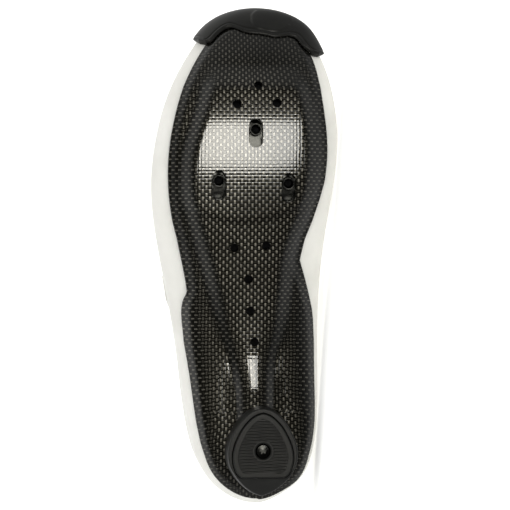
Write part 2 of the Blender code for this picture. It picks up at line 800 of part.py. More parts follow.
def make_bumper(parts, finish):
    """The moulded toe bumper: a lip over the sole's front edge, then a wall up the front of the upper."""
    bearing = np.linspace(BUMPER_EDGE[0][0], BUMPER_EDGE[-1][0], BUMPER_STATIONS)
    turns = toe_turn(bearing)
    inner_edge = spline(column(BUMPER_EDGE, 0), column(BUMPER_EDGE, 1))(bearing)
    start = angle_at_reach(turns, inner_edge)
    middle = np.clip(1 - np.abs(bearing - np.mean(bearing[[0, -1]])) / (np.ptp(bearing) / 2), 0, 1)
    rise = np.minimum(1, 2 * middle)
    top = np.radians(BUMPER_END_ANGLE + (BUMPER_TOP_ANGLE - BUMPER_END_ANGLE) * np.sqrt(rise * (2 - rise)))
    edge = sole_edge(turns)
    beyond = edge + BUMPER_STEP
    under = [start + (edge - start) * k for k in column(BUMPER_UNDER, 0)]
    over = [beyond + (top - beyond) * k for k in column(BUMPER_OVER, 0)]
    angle = np.array(under + over)
    covered = np.arange(len(angle))[:, None] < len(under)
    seat = np.where(covered, 2 * SEAT_GAP + sole_thickness(turns[None, :], angle), LINING_GAP)
    inner = skin(turns[None, :], angle, seat)
    lip = 2 * SEAT_GAP + FLANGE_THICKNESS + BUMPER_LIP
    share = np.array(column(BUMPER_UNDER + BUMPER_OVER, 1))[:, None]
    cover = lip + (SEAT_GAP + BUMPER_WALL - lip) * share
    outer = skin(turns[None, :], angle, np.maximum(cover, seat + BUMPER_LEAST_WALL))
    outer[0] = skin(turns, angle[0], seat[0] + BUMPER_EDGE_WALL)
    return new_object("toe_bumper", patch_mesh("toe_bumper", outer, inner), finish, parts)


def heel_ring(radius, height):
    """A ring about the screw: radius by turn from the toe, height as a function of the plan."""
    turn = np.linspace(0, 2 * np.pi, HEEL_STEPS, endpoint=False)
    x = PAD_OFFSET + radius * np.sin(turn)
    y = PAD_FROM_HEEL + radius * np.cos(turn)
    return np.stack([x, y, height(x, y) + 0 * x], -1)


def heel_outline(k, size):
    turn = np.degrees(np.linspace(0, 2 * np.pi, HEEL_STEPS, endpoint=False))
    folded = np.minimum(turn, 360 - turn)
    return size * spline(column(HEEL_OUTLINES, 0), column(HEEL_OUTLINES, k))(folded)


def underside_of(sole):
    """Height of a surface held one seat gap off the sole's underside, found by a ray up."""
    corners = [v.co for v in sole.data.vertices]
    tree = BVHTree.FromPolygons(corners, [tuple(f.vertices) for f in sole.data.polygons])

    def height(x, y):
        spots = zip(np.ravel(x), np.ravel(y))
        hits = [tree.ray_cast(Vector((a, b, -LENGTH)), Vector((0, 0, 1))) for a, b in spots]
        held = [hit[0].z - SEAT_GAP / max(abs(hit[1].z), 0.3) for hit in hits]
        return np.array(held).reshape(np.shape(x))

    return height


def base_face(x, y):
    """The base's lower face: level round the pad, then sloping up behind the rear line."""
    behind = np.clip(PAD_FROM_HEEL + BASE_REAR_LINE - y, 0, 1)
    return BASE_FACE_HEIGHT + BASE_REAR_SLOPE * behind


def make_heel_base(sole, parts, finish):
    """The block bonded under the heel, with the pocket that holds the pad and a blind bore for the screw."""
    plan = heel_outline(1, BASE_REACH)
    pocket = heel_outline(2, PAD_REACH) + GAP
    bore = SCREW_SHANK_RADIUS + GAP
    floor = PAD_THICKNESS + GAP
    bore_end = SCREW_RECESS + SCREW_LENGTH + 2 * GAP
    seat = underside_of(sole)

    def rim(x, y):
        return np.minimum(base_face(x, y) + BASE_RIM, seat(x, y) - BASE_LEAST_RIM)

    def face(x, y):
        return np.minimum(base_face(x, y), seat(x, y) - BASE_RIM)

    rings = [heel_ring(0 * plan, seat)]
    rings += [heel_ring(plan * k, seat) for k in (0.25, 0.48, 0.68, 0.84, 0.93)]
    rings += [heel_ring(plan, seat)]
    rings += [heel_ring(plan - BASE_DRAFT / 2, rim), heel_ring(plan - BASE_DRAFT, face)]
    rings += [heel_ring(pocket, face), heel_ring(pocket, lambda x, y: floor)]
    rings += [heel_ring(0 * plan + bore, lambda x, y: floor)]
    rings += [heel_ring(0 * plan + bore, lambda x, y: bore_end)]
    rings += [heel_ring(0 * plan, lambda x, y: bore_end)]
    return new_object("heel_base", ring_mesh("heel_base", np.array(rings)), finish, parts)


def make_heel_pad(parts, finish):
    """The replaceable tread pad, with a counterbore for the screw's head."""
    plan = heel_outline(2, PAD_REACH)
    head = SCREW_HEAD_RADIUS + GAP
    hole = SCREW_SHANK_RADIUS + GAP
    seat = SCREW_RECESS + SCREW_HEAD_HEIGHT + GAP
    flat = 0 * plan
    outlines = [
        (flat + hole, PAD_THICKNESS),
        (plan, PAD_THICKNESS),
        (plan, PAD_BEVEL),
        (plan - PAD_BEVEL, 0.0),
        (flat + head + COUNTERSINK, 0.0),
        (flat + head, COUNTERSINK),
        (flat + head, seat),
        (flat + hole, seat),
        (flat + hole, PAD_THICKNESS),
    ]
    rings = [heel_ring(radius, lambda x, y, z=z: z) for radius, z in outlines]
    return new_object("heel_pad", ring_mesh("heel_pad", np.array(rings)), finish, parts)


def make_screw(parts, cutters, finish):
    """A pan-head screw with a cross recess, sitting in the pad's counterbore."""
    under = SCREW_RECESS + SCREW_HEAD_HEIGHT
    end = SCREW_RECESS + SCREW_LENGTH
    profile = [
        (0.0, end),
        (SCREW_SHANK_RADIUS - SCREW_POINT, end),
        (SCREW_SHANK_RADIUS, end - SCREW_POINT),
        (SCREW_SHANK_RADIUS, under),
        (SCREW_HEAD_RADIUS, under),
        (SCREW_HEAD_RADIUS, SCREW_RECESS + SCREW_DOME),
        (0.92 * SCREW_HEAD_RADIUS, SCREW_RECESS + 0.45 * SCREW_DOME),
        (0.62 * SCREW_HEAD_RADIUS, SCREW_RECESS + 0.09 * SCREW_DOME),
        (0.0, SCREW_RECESS),
    ]
    mesh = bpy.data.meshes.new("heel_screw")
    edges = [(k, k + 1) for k in range(len(profile) - 1)]
    mesh.from_pydata([(r, 0, z) for r, z in profile], edges, [])
    obj = new_object("heel_screw", mesh, finish, parts)
    obj.location = PAD_OFFSET, PAD_FROM_HEEL, 0
    turned = obj.modifiers.new("turned", "SCREW")
    turned.steps = ROUND_STEPS
    turned.render_steps = ROUND_STEPS
    turned.use_merge_vertices = True
    turned.merge_threshold = 0.00001
    for k in range(2):
        work = bmesh.new()
        bmesh.ops.create_cube(work, size=1.0)
        size = Matrix.Diagonal((CROSS_WIDTH, CROSS_LENGTH, 2 * CROSS_DEPTH, 1.0))
        spin = Matrix.Rotation(CROSS_TURN + math.radians(90 * k), 4, "Z")
        bmesh.ops.transform(work, matrix=spin @ size, verts=work.verts)
        place = Matrix.Translation((PAD_OFFSET, PAD_FROM_HEEL, SCREW_RECESS))
        cut(obj, tool_from(work, f"cross_{k}", place, cutters))
    return obj


def make_nut(name, x, y, parts, cutters, finish):
    """A sliding threaded insert: a flange lying on the plate inside the shoe and a barrel down the slot."""
    place = floor_frame(x, y)
    place = place @ Matrix.Translation((0, 0, flange_seat(place)))
    work = bmesh.new()
    bmesh.ops.create_cube(work, size=1.0)
    size = Matrix.Diagonal((NUT_FLANGE_WIDTH, NUT_FLANGE_LENGTH, NUT_FLANGE_THICKNESS, 1.0))
    lift = Matrix.Translation((0, -SLOT_BEHIND_NUT, NUT_FLANGE_THICKNESS / 2))
    bmesh.ops.transform(work, matrix=lift @ size, verts=work.verts)
    mesh = bpy.data.meshes.new(name)
    work.to_mesh(mesh)
    work.free()
    obj = new_object(name, mesh, finish, parts)
    obj.matrix_world = place
    corners = obj.modifiers.new("corners", "BEVEL")
    corners.width = NUT_BEVEL
    corners.segments = 1
    barrel = round_bar(name + "_barrel", NUT_RADIUS, NUT_LENGTH + NUT_FLANGE_THICKNESS / 2, place, cutters)
    join = obj.modifiers.new("barrel", "BOOLEAN")
    join.operation = "UNION"
    join.object = barrel
    cut(obj, round_bar(name + "_bore", NUT_BORE_RADIUS, 3 * NUT_LENGTH, place, cutters, 1.5 * NUT_LENGTH))
    return obj


def flange_seat(place):
    """How far a flange is lifted so that it clears the curved plate under all of it by one gap."""
    u, v = np.meshgrid(np.linspace(-0.5, 0.5, 7), np.linspace(-0.5, 0.5, 9))
    u, v = NUT_FLANGE_WIDTH * u, NUT_FLANGE_LENGTH * v - SLOT_BEHIND_NUT
    corner, across, along = (np.array(place.col[k][:3]) for k in (3, 0, 1))
    spot = corner + across * u[..., None] + along * v[..., None]
    return float(np.max(floor_height(spot[..., 0], spot[..., 1]) - spot[..., 2]))


def round_bar(name, radius, length, place, cutters, lift=0.0):
    """A bar along the local Z axis, reaching length down from half the flange's thickness plus lift."""
    work = bmesh.new()
    middle = Matrix.Translation((0, 0, NUT_FLANGE_THICKNESS / 2 - length / 2 + lift))
    add_bar(work, radius, length, middle, ROUND_STEPS)
    return tool_from(work, name, place, cutters)


def lay_down(objects):
    """Turns the shoe onto its inner side, toe to +X, underside to -Y, centred and resting on Z = 0."""
    onto_side = Matrix(((0, 1, 0), (0, 0, 1), (1, 0, 0))).to_4x4()
    settle = Matrix.Rotation(REST_PITCH, 4, "Y") @ Matrix.Rotation(REST_ROLL, 4, "X")
    turned = settle @ onto_side
    bpy.context.view_layer.update()
    graph = bpy.context.evaluated_depsgraph_get()
    points = []
    for obj in objects:
        evaluated = obj.evaluated_get(graph)
        place = turned @ evaluated.matrix_world
        points += [place @ v.co for v in evaluated.data.vertices]
    low = [min(p[k] for p in points) for k in range(3)]
    high = [max(p[k] for p in points) for k in range(3)]
    middle = Vector(((low[0] + high[0]) / 2, (low[1] + high[1]) / 2, low[2]))
    return Matrix.Translation(-middle) @ turned


def main():
    for obj in list(bpy.data.objects):
        bpy.data.objects.remove(obj)
    parts = bpy.data.collections.new("cycling_shoe")
    cutters = bpy.data.collections.new("cutters")
    bpy.context.scene.collection.children.link(parts)
    bpy.context.scene.collection.children.link(cutters)
    white = material("white_microfibre", (0.80, 0.79, 0.77), 0.55)
    carbon = material("carbon_weave", (0.018, 0.018, 0.017), 0.18)
    rubber = material("black_rubber", (0.032, 0.033, 0.031), 0.62)
    steel = material("black_steel", (0.07, 0.07, 0.07), 0.30, 1.0)
    lining = material("black_lining", (0.025, 0.025, 0.026), 0.9)
    sole = make_outsole(parts, cutters, carbon)
    made = [
        make_upper(parts, white),
        sole,
        make_insole(parts, lining),
        make_tongue(parts, white),
        make_bumper(parts, rubber),
        make_heel_base(sole, parts, rubber),
        make_heel_pad(parts, rubber),
        make_screw(parts, cutters, steel),
    ]
    for strap in STRAPS:
        made.append(make_strap(*strap, parts, white))
    names = "cleat_nut_front", "cleat_nut_rear_lateral", "cleat_nut_rear_medial"
    for name, (x, y) in zip(names, cleat_points()):
        made.append(make_nut(name, x, y, parts, cutters, steel))
    laid = lay_down(made)
    holder = bpy.data.objects.new("shoe_on_its_side", None)
    parts.objects.link(holder)
    holder.matrix_world = laid
    for obj in list(parts.objects) + list(cutters.objects):
        if obj is not holder:
            obj.parent = holder


main()
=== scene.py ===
import json
import math

import bmesh
import bpy
import numpy as np
from mathutils import Matrix, Vector


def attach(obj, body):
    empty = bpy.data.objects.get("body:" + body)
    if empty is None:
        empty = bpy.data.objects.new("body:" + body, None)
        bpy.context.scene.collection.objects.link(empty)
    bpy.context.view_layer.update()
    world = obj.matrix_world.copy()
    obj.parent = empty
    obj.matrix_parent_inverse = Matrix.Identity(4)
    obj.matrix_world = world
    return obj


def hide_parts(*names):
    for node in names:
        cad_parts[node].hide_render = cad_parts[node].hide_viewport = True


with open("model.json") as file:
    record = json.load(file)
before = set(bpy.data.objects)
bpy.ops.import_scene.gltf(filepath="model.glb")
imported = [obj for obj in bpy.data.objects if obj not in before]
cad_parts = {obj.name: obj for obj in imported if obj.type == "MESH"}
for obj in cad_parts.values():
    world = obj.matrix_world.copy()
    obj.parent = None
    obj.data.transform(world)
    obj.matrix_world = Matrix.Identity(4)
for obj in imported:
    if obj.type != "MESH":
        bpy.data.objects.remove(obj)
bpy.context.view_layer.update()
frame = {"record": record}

# The last: the foot-shaped form that the upper is pulled over and the carbon sole is moulded to.
# Every surface of the shoe follows it at its own distance. The shoe's own frame has +X to the outer side,
# +Y to the toe and +Z up, with the ball and the heel pad on Z = 0; it lies on its inner side in the scene.

LENGTH = 0.2614
BALL_WIDTH = 0.0985
WAIST_LIFT = 0.013
TOE_SPRING = 0.022
WIDEST_HEIGHT = 0.016
INSTEP_HEIGHT = 0.100
HEEL_POLE = 0.13
TOE_POLE = 0.84
SEAT_GAP = 0.00042
FLANGE_THICKNESS = 0.0023
PLATFORM_HEIGHT = 0.0034
BOND_GAP = 0.0003
REST_ROLL = math.radians(-0.101)
REST_PITCH = math.radians(-3.776)
PAD_FROM_HEEL = 0.0300
PAD_OFFSET = -0.0010
TREAD_MOUNT_REACH = 0.010
PER_MM = 1000.0

# along: share of LENGTH; lateral and medial: reach of the outline from the axis, as shares of BALL_WIDTH
OUTLINE = np.array([
    (0.0000, 0.0000, 0.0000),
    (0.0172, 0.1570, 0.1290),
    (0.0455, 0.2493, 0.2276),
    (0.0859, 0.3144, 0.2873),
    (0.1264, 0.3490, 0.3130),
    (0.2073, 0.3902, 0.3300),
    (0.3286, 0.4390, 0.3310),
    (0.4500, 0.4986, 0.3415),
    (0.5713, 0.5583, 0.3740),
    (0.6522, 0.5745, 0.4065),
    (0.7331, 0.5528, 0.4228),
    (0.8140, 0.4986, 0.4085),
    (0.8746, 0.4282, 0.3740),
    (0.9272, 0.3450, 0.3190),
    (0.9656, 0.2600, 0.2560),
    (0.9859, 0.1750, 0.1790),
    (1.0000, 0.0000, 0.0000),
])

# waist, spring, widest and top: heights as shares of WAIST_LIFT, TOE_SPRING, WIDEST_HEIGHT and INSTEP_HEIGHT;
# lower and upper: powers of the superellipse under and over the widest line
SECTIONS = np.array([
    # along, waist, spring, widest, top, lower, upper
    (0.00, 1.20, 0.00, 0.90, 1.62, 2.4, 3.2),
    (0.10, 0.98, 0.00, 0.90, 1.60, 2.5, 3.2),
    (0.20, 0.98, 0.00, 0.90, 1.44, 2.5, 3.2),
    (0.30, 0.98, 0.00, 1.01, 1.20, 2.4, 2.7),
    (0.40, 0.83, 0.00, 1.14, 0.96, 2.4, 2.4),
    (0.50, 0.54, 0.00, 1.18, 0.79, 2.5, 2.1),
    (0.60, 0.22, 0.00, 1.00, 0.67, 2.9, 2.2),
    (0.66, 0.07, 0.00, 0.92, 0.61, 3.1, 2.3),
    (0.72, 0.00, 0.00, 0.88, 0.565, 3.2, 2.3),
    (0.78, 0.00, 0.05, 0.86, 0.525, 3.2, 2.3),
    (0.85, 0.00, 0.23, 0.86, 0.490, 3.1, 2.3),
    (0.92, 0.00, 0.53, 0.86, 0.468, 3.0, 2.3),
    (1.00, 0.00, 1.00, 0.86, 0.462, 3.0, 2.3),
])


def spline(places, values):
    """A natural cubic spline: second slopes from one linear system, none at the two ends."""
    x, y = np.asarray(places, float), np.asarray(values, float)
    h = np.diff(x)
    n = len(x)
    system, right = np.eye(n), np.zeros(n)
    inner = np.arange(1, n - 1)
    system[inner, inner - 1] = h[:-1]
    system[inner, inner] = 2 * (h[:-1] + h[1:])
    system[inner, inner + 1] = h[1:]
    right[inner] = 6 * np.diff(np.diff(y) / h)
    bend = np.linalg.solve(system, right)

    def at(place):
        place = np.clip(place, x[0], x[-1])
        k = np.clip(np.searchsorted(x, place) - 1, 0, n - 2)
        before, after = place - x[k], x[k + 1] - place
        cubic = (bend[k] * after**3 + bend[k + 1] * before**3) / (6 * h[k])
        straight = (y[k] / h[k] - bend[k] * h[k] / 6) * after
        return cubic + straight + (y[k + 1] / h[k] - bend[k + 1] * h[k] / 6) * before

    return at


def half_turn(along):
    """Share of half a turn, heel to toe, from a share of the length: along = (1 - cos(pi s)) / 2."""
    return np.arccos(np.clip(1 - 2 * np.asarray(along, float), -1, 1)) / np.pi


lateral_reach = spline(half_turn(OUTLINE[:, 0]), OUTLINE[:, 1])
medial_reach = spline(half_turn(OUTLINE[:, 0]), OUTLINE[:, 2])
waist, spring, widest, top, lower_power, upper_power = (
    spline(SECTIONS[:, 0], SECTIONS[:, k]) for k in range(1, 7)
)


def outline(turn):
    """The outline from above: a full turn runs heel, lateral side, toe, medial side."""
    turn = np.asarray(turn, float) % 1.0
    half = np.where(turn <= 0.5, 2 * turn, 2 - 2 * turn)
    x = BALL_WIDTH * np.where(turn <= 0.5, lateral_reach(half), -medial_reach(half))
    return x, LENGTH * (1 - np.cos(np.pi * half)) / 2


def spine(y):
    """The middle line: halfway between the two sides of the outline."""
    half = half_turn(y / LENGTH)
    return BALL_WIDTH * (lateral_reach(half) - medial_reach(half)) / 2


def bottom(y):
    """Height of the last's bottom: the sole's stack, plus the waist's lift and the toe's spring."""
    stack = PLATFORM_HEIGHT + FLANGE_THICKNESS + BOND_GAP
    return stack + WAIST_LIFT * waist(y / LENGTH) + TOE_SPRING * spring(y / LENGTH)


def last(turn, angle):
    """A point of the last: a ray of the outline, then a superellipse down to the bottom or up to the top."""
    ox, oy = outline(turn)
    cy = np.clip(oy, HEEL_POLE * LENGTH, TOE_POLE * LENGTH)
    cx = spine(cy)
    power = 2 / np.where(angle < 0, lower_power(oy / LENGTH), upper_power(oy / LENGTH))
    reach = np.sign(np.cos(angle)) * np.abs(np.cos(angle)) ** power
    rise = np.abs(np.sin(angle)) ** power
    y = cy + (oy - cy) * reach
    side = bottom(oy) + WIDEST_HEIGHT * widest(oy / LENGTH)
    end = np.where(angle < 0, bottom(y), INSTEP_HEIGHT * top(y / LENGTH))
    return np.stack([cx + (ox - cx) * reach, y, side + (end - side) * rise], -1)


def skin(turn, angle, out=0.0):
    """The last moved outwards by a distance along its normal, the cross product of its two slopes."""
    turn, angle, out = np.broadcast_arrays(np.asarray(turn, float), np.asarray(angle, float), out)
    step = 1e-4
    along = last(turn + step, angle) - last(turn - step, angle)
    across = last(turn, angle + step) - last(turn, angle - step)
    normal = np.cross(along, across)
    size = np.linalg.norm(normal, axis=-1, keepdims=True)
    pole = np.stack([0 * angle, 0 * angle, np.sign(angle)], -1)
    normal = np.where(size > 1e-13, normal / np.maximum(size, 1e-13), pole)
    return last(turn, angle) + normal * out[..., None]


def angle_at(turn, reach, upper=False):
    """The section's angle at a share of its ray, under or over the widest line: arccos(reach^(power / 2))."""
    share = outline(turn)[1] / LENGTH
    power = upper_power(share) if upper else lower_power(share)
    angle = np.arccos(np.clip(reach, 0, 1) ** (power / 2))
    return angle if upper else -angle


def even_turns(count):
    """Full turns at about even steps of length: the same stations along the shoe on both sides, so that the
    rays of both sides meet on the middle line."""
    fine = np.linspace(0, 0.5, 8001)
    x, y = outline(fine)
    other = outline(1 - fine)[0]
    step = np.hypot(np.diff(x), np.diff(y)) + np.hypot(np.diff(other), np.diff(y))
    run = np.concatenate([[0], np.cumsum(step)])
    one_side = np.interp(np.linspace(0, run[-1], count // 2 + 1), run, fine)
    return np.concatenate([one_side, 1 - one_side[-2:0:-1]])


def laid_down():
    """The shoe's place in the scene: its resting turn, put where the record has the heel's tread."""
    onto_side = Matrix(((0, 1, 0), (0, 0, 1), (1, 0, 0)))
    turn = Matrix.Rotation(REST_PITCH, 3, "Y") @ Matrix.Rotation(REST_ROLL, 3, "X") @ onto_side
    tread = next(m for m in frame["record"]["mounts"] if m["name"] == "heel_pad_tread")
    own = Vector((PAD_OFFSET, PAD_FROM_HEEL + TREAD_MOUNT_REACH, 0))
    return np.array(turn), np.array(Vector(tread["pos_m"]) - turn @ own)


TURNED, MOVED = laid_down()


def in_scene(points):
    """Points of the shoe's own frame, turned and moved to where it lies."""
    return np.asarray(points) @ TURNED.T + MOVED


def from_grids(name, grids, finish, around=False, smooth=True, extra=None):
    """One mesh from grids of points: four neighbours make a face, and around closes each row on itself."""
    points, quads, start = [], [], 0
    for grid in grids:
        rows, columns = grid.shape[:2]
        index = start + np.arange(rows * columns).reshape(rows, columns)
        after = np.roll(index, -1, 1)
        keep = slice(None) if around else slice(0, columns - 1)
        four = [index[:-1, keep], after[:-1, keep], after[1:, keep], index[1:, keep]]
        quads.append(np.stack(four, -1).reshape(-1, 4))
        points.append(grid.reshape(-1, 3))
        start += rows * columns
    points, quads = np.concatenate(points), np.concatenate(quads)
    mesh = bpy.data.meshes.new(name)
    mesh.vertices.add(len(points))
    mesh.vertices.foreach_set("co", in_scene(points).astype(np.float32).ravel())
    mesh.loops.add(quads.size)
    mesh.loops.foreach_set("vertex_index", quads.astype(np.int32).ravel())
    mesh.polygons.add(len(quads))
    mesh.polygons.foreach_set("loop_start", np.arange(0, quads.size, 4, dtype=np.int32))
    mesh.update(calc_edges=True)
    for key, values in (extra or {}).items():
        values = np.asarray(values, np.float32)
        if values.ndim == 2:
            layer = mesh.uv_layers.new(name=key)
            layer.data.foreach_set("uv", values[quads.ravel()].ravel())
        else:
            mesh.attributes.new(key, "FLOAT", "POINT").data.foreach_set("value", values)
    work = bmesh.new()
    work.from_mesh(mesh)
    bmesh.ops.remove_doubles(work, verts=work.verts, dist=2e-6)
    bmesh.ops.dissolve_degenerate(work, edges=work.edges, dist=1e-7)
    bmesh.ops.recalc_face_normals(work, faces=work.faces)
    work.to_mesh(mesh)
    work.free()
    if smooth:
        mesh.shade_smooth()
    piece = bpy.data.objects.new(name, mesh)
    bpy.context.scene.collection.objects.link(piece)
    mesh.materials.append(finish)
    return piece


def linear(code, alpha=1.0):
    """An sRGB hex colour in linear light: (c + 0.055) / 1.055 to the power 2.4 over the toe of the curve."""
    c = np.array([int(code[k : k + 2], 16) / 255 for k in (1, 3, 5)])
    c = np.where(c <= 0.04045, c / 12.92, ((c + 0.055) / 1.055) ** 2.4)
    return (*c.tolist(), alpha)


def finish_named(name, colour, roughness, **sockets):
    """A material with its Principled shader; sockets are set by their names with _ for a space."""
    made = bpy.data.materials.new(name)
    made.use_nodes = True
    shader = made.node_tree.nodes["Principled BSDF"]
    shader.inputs["Base Color"].default_value = linear(colour)
    shader.inputs["Roughness"].default_value = roughness
    for key, value in sockets.items():
        shader.inputs[key.replace("_", " ")].default_value = value
    return made, shader


def add(made, kind, links=None, **settings):
    """Adds one node: settings on the node, then each input linked where given a socket, else set."""
    node = made.node_tree.nodes.new(kind)
    for key, value in settings.items():
        setattr(node, key, value)
    for key, value in (links or {}).items():
        if isinstance(value, bpy.types.NodeSocket):
            made.node_tree.links.new(value, node.inputs[key])
        else:
            node.inputs[key].default_value = value
    return node


def do(made, operation, a, b=0.0, c=0.0):
    """The result of one step of arithmetic in a material."""
    return add(made, "ShaderNodeMath", {0: a, 1: b, 2: c}, operation=operation).outputs[0]


def plug(made, socket, shader, key):
    """Links a node's output to the shader's input of that name."""
    made.node_tree.links.new(socket, shader.inputs[key])


# Outsole: one plate of woven carbon fibre in epoxy, pressed in a mould with a raised cleat platform and
# spine, wrapping the heel as a cup. It is clear coated, bonded under the upper and cut with slots and vents.

SOLE_EDGE_THICKNESS = 0.0014
EDGE_TAPER = math.radians(12)
RELIEF_FADE = math.radians(9)
RIDGE_FALL = 0.0105
CROWN_REACH = 1.7
BOW_STEP = 0.0004
BOW_ALONG = 0.578
BOW_CURVE = 0.35
BOW_LENGTH = 0.012
BASE_REACH = 0.0183
PAD_REACH = 0.0148
GROOVE_DEPTH = 0.0011
GROOVE_WIDTH = 0.012
GROOVE_UNDER_BLOCK = 0.003
TOW = 0.00185
TOW_WANDER = 0.0005
SLOT_RADIUS = 0.0036
SLOT_LENGTH = 0.0150
SLOT_BEHIND_NUT = 0.0020
SLOT_FLARE = 0.0004
VENT_RADIUS = 0.0022
VENT_FLARE = 0.0003
CUT_REACH = 0.006
CLEAT_BOLT_SPACING = 0.0365
CLEAT_BOLT_REACH = 0.0268
CLEAT_TURN = math.radians(2.0)
CLEAT_ALONG = 0.6518
CLEAT_OFFSET = 0.0037

# Edge of the plate, as an angle of the last's section in degrees: -90 is the middle of the bottom and 0 the
# widest line
SOLE_EDGE = np.array([
    # along, lateral, medial
    (0.000, -32.0, -30.0),
    (0.045, -34.5, -26.5),
    (0.100, -37.0, -30.0),
    (0.170, -35.5, -27.5),
    (0.250, -35.3, -29.0),
    (0.330, -33.5, -28.8),
    (0.375, -35.5, -31.0),
    (0.395, -37.2, -33.2),
    (0.415, -41.5, -36.8),
    (0.431, -47.8, -39.8),
    (0.457, -48.2, -44.8),
    (0.496, -47.8, -52.5),
    (0.540, -47.3, -50.0),
    (0.576, -45.6, -45.0),
    (0.617, -44.8, -41.2),
    (0.656, -44.2, -38.2),
    (0.700, -43.2, -38.6),
    (0.740, -42.6, -40.2),
    (0.775, -42.7, -42.2),
    (0.815, -42.5, -43.4),
    (0.857, -41.8, -43.0),
    (0.906, -40.4, -39.8),
    (1.000, -38.0, -38.0),
])

# Crest of the raised platform, as shares of BALL_WIDTH; height and crown: shares of PLATFORM_HEIGHT
PLATFORM = np.array([
    # along, lateral, medial, height, crown
    (0.110, 0.080, 0.040, 0.00, 0.30),
    (0.160, 0.080, 0.038, 1.30, 0.32),
    (0.228, 0.084, 0.036, 1.34, 0.32),
    (0.304, 0.116, 0.044, 0.92, 0.30),
    (0.349, 0.142, 0.064, 0.95, 0.18),
    (0.415, 0.179, 0.080, 1.00, 0.06),
    (0.449, 0.201, 0.088, 1.00, 0.00),
    (0.515, 0.251, 0.112, 1.00, 0.00),
    (0.563, 0.289, 0.155, 1.00, 0.00),
    (0.601, 0.320, 0.196, 1.00, 0.00),
    (0.657, 0.338, 0.225, 1.00, 0.00),
    (0.734, 0.312, 0.226, 1.00, 0.00),
    (0.782, 0.270, 0.211, 1.00, 0.00),
    (0.832, 0.231, 0.182, 1.00, 0.00),
    (0.890, 0.195, 0.130, 0.00, 0.00),
])

# Outlines of the heel's block and pad by turn from the toe in degrees; base and pad: reach as shares of
# BASE_REACH and PAD_REACH
HEEL_OUTLINES = np.array([
    # turn, base, pad
    (0, 1.264, 1.324),
    (12, 1.232, 1.262),
    (24, 1.165, 1.168),
    (40, 1.075, 1.070),
    (58, 1.022, 1.005),
    (75, 1.020, 1.010),
    (90, 1.040, 1.045),
    (105, 1.060, 1.105),
    (120, 1.085, 1.165),
    (132, 1.105, 1.215),
    (139, 1.130, 1.205),
    (150, 1.180, 1.084),
    (165, 1.275, 0.970),
    (180, 1.380, 0.940),
])

VENTS = [
    # share of LENGTH, share of BALL_WIDTH
    (0.8390, 0.012),
    (0.8016, 0.126),
    (0.8038, -0.085),
    (0.5233, 0.138),
    (0.5275, -0.031),
    (0.4601, 0.061),
    (0.3952, 0.049),
    (0.3319, 0.027),
]


def eased(share):
    """The smooth step 3 s^2 - 2 s^3 of a share held between 0 and 1."""
    share = np.clip(share, 0, 1)
    return share * share * (3 - 2 * share)


def sole_edge(turn):
    """Angle of the plate's edge on each ray."""
    share = outline(turn)[1] / LENGTH
    lateral, medial = (np.interp(share, SOLE_EDGE[:, 0], SOLE_EDGE[:, k]) for k in (1, 2))
    return np.radians(np.where(np.asarray(turn) % 1.0 <= 0.5, lateral, medial))


def eased_between(table, k, place):
    """A column of a table at a place: the smooth step runs from each row to the next."""
    row = np.clip(np.searchsorted(table[:, 0], place) - 1, 0, len(table) - 2)
    share = (place - table[row, 0]) / (table[row + 1, 0] - table[row, 0])
    return table[row, k] + (table[row + 1, k] - table[row, k]) * eased(share)


def heel_outline(turn, k, size):
    """Reach from the screw's axis by turn from the toe, the same on both sides."""
    turn = np.degrees(turn) % 360
    return size * spline(HEEL_OUTLINES[:, 0], HEEL_OUTLINES[:, k])(np.minimum(turn, 360 - turn))


def platform_relief(x, y):
    """Height of the relief: full between the two crests, arched on the spine, then a smooth step down beside
    them. A shallow curved step lies where the ball's platform runs into the spine, and the plate dips round
    the heel's block."""
    share = y / LENGTH
    lateral = BALL_WIDTH * spline(PLATFORM[:, 0], PLATFORM[:, 1])(share)
    medial = -BALL_WIDTH * spline(PLATFORM[:, 0], PLATFORM[:, 2])(share)
    fall = 1 - eased(np.maximum(x - lateral, medial - x) / RIDGE_FALL)
    across = np.clip((2 * x - lateral - medial) / (lateral - medial), -CROWN_REACH, CROWN_REACH)
    height = eased_between(PLATFORM, 3, share)
    height = height - eased_between(PLATFORM, 4, share) * across**2 * np.minimum(height, 1)
    bow = BOW_ALONG + BOW_CURVE * ((x - spine(y)) / BALL_WIDTH) ** 2
    raised = np.maximum(PLATFORM_HEIGHT * height - BOW_STEP * eased((bow - share) / BOW_LENGTH), 0) * fall
    u, v = x - PAD_OFFSET, y - PAD_FROM_HEEL
    away = np.hypot(u, v) - heel_outline(np.arctan2(u, v), 1, BASE_REACH)
    dip = GROOVE_DEPTH * np.clip(1 - away / GROOVE_WIDTH, 0, 1) ** 1.4
    return raised - dip * (away > -GROOVE_UNDER_BLOCK)


def bottom_over(x, y):
    """Height of the last's bottom over a point of the plan, from its share r of its ray, which runs across
    the shoe or, behind the heel's pole, from that pole: side - (side - bottom) (1 - r^p)^(1/p)."""
    pole = HEEL_POLE * LENGTH
    half = half_turn(y / LENGTH)
    width = BALL_WIDTH * (lateral_reach(half) + medial_reach(half)) / 2
    fan = np.linspace(-0.24, 0.24, 2001)
    fx, fy = outline(fan)
    bearing = np.arctan2(fx - spine(pole), pole - fy)
    ox, oy = outline(np.interp(np.arctan2(x - spine(pole), pole - y), bearing, fan))
    from_pole = np.hypot(x - spine(pole), y - pole) / np.hypot(ox - spine(pole), oy - pole)
    reach = np.where(y < pole, from_pole, np.abs(x - spine(y)) / width)
    end = np.where(y < pole, oy, y)
    side = bottom(end) + WIDEST_HEIGHT * widest(end / LENGTH)
    power = lower_power(end / LENGTH)
    return side - (side - bottom(y)) * (1 - np.clip(reach, 0, 0.999) ** power) ** (1 / power)


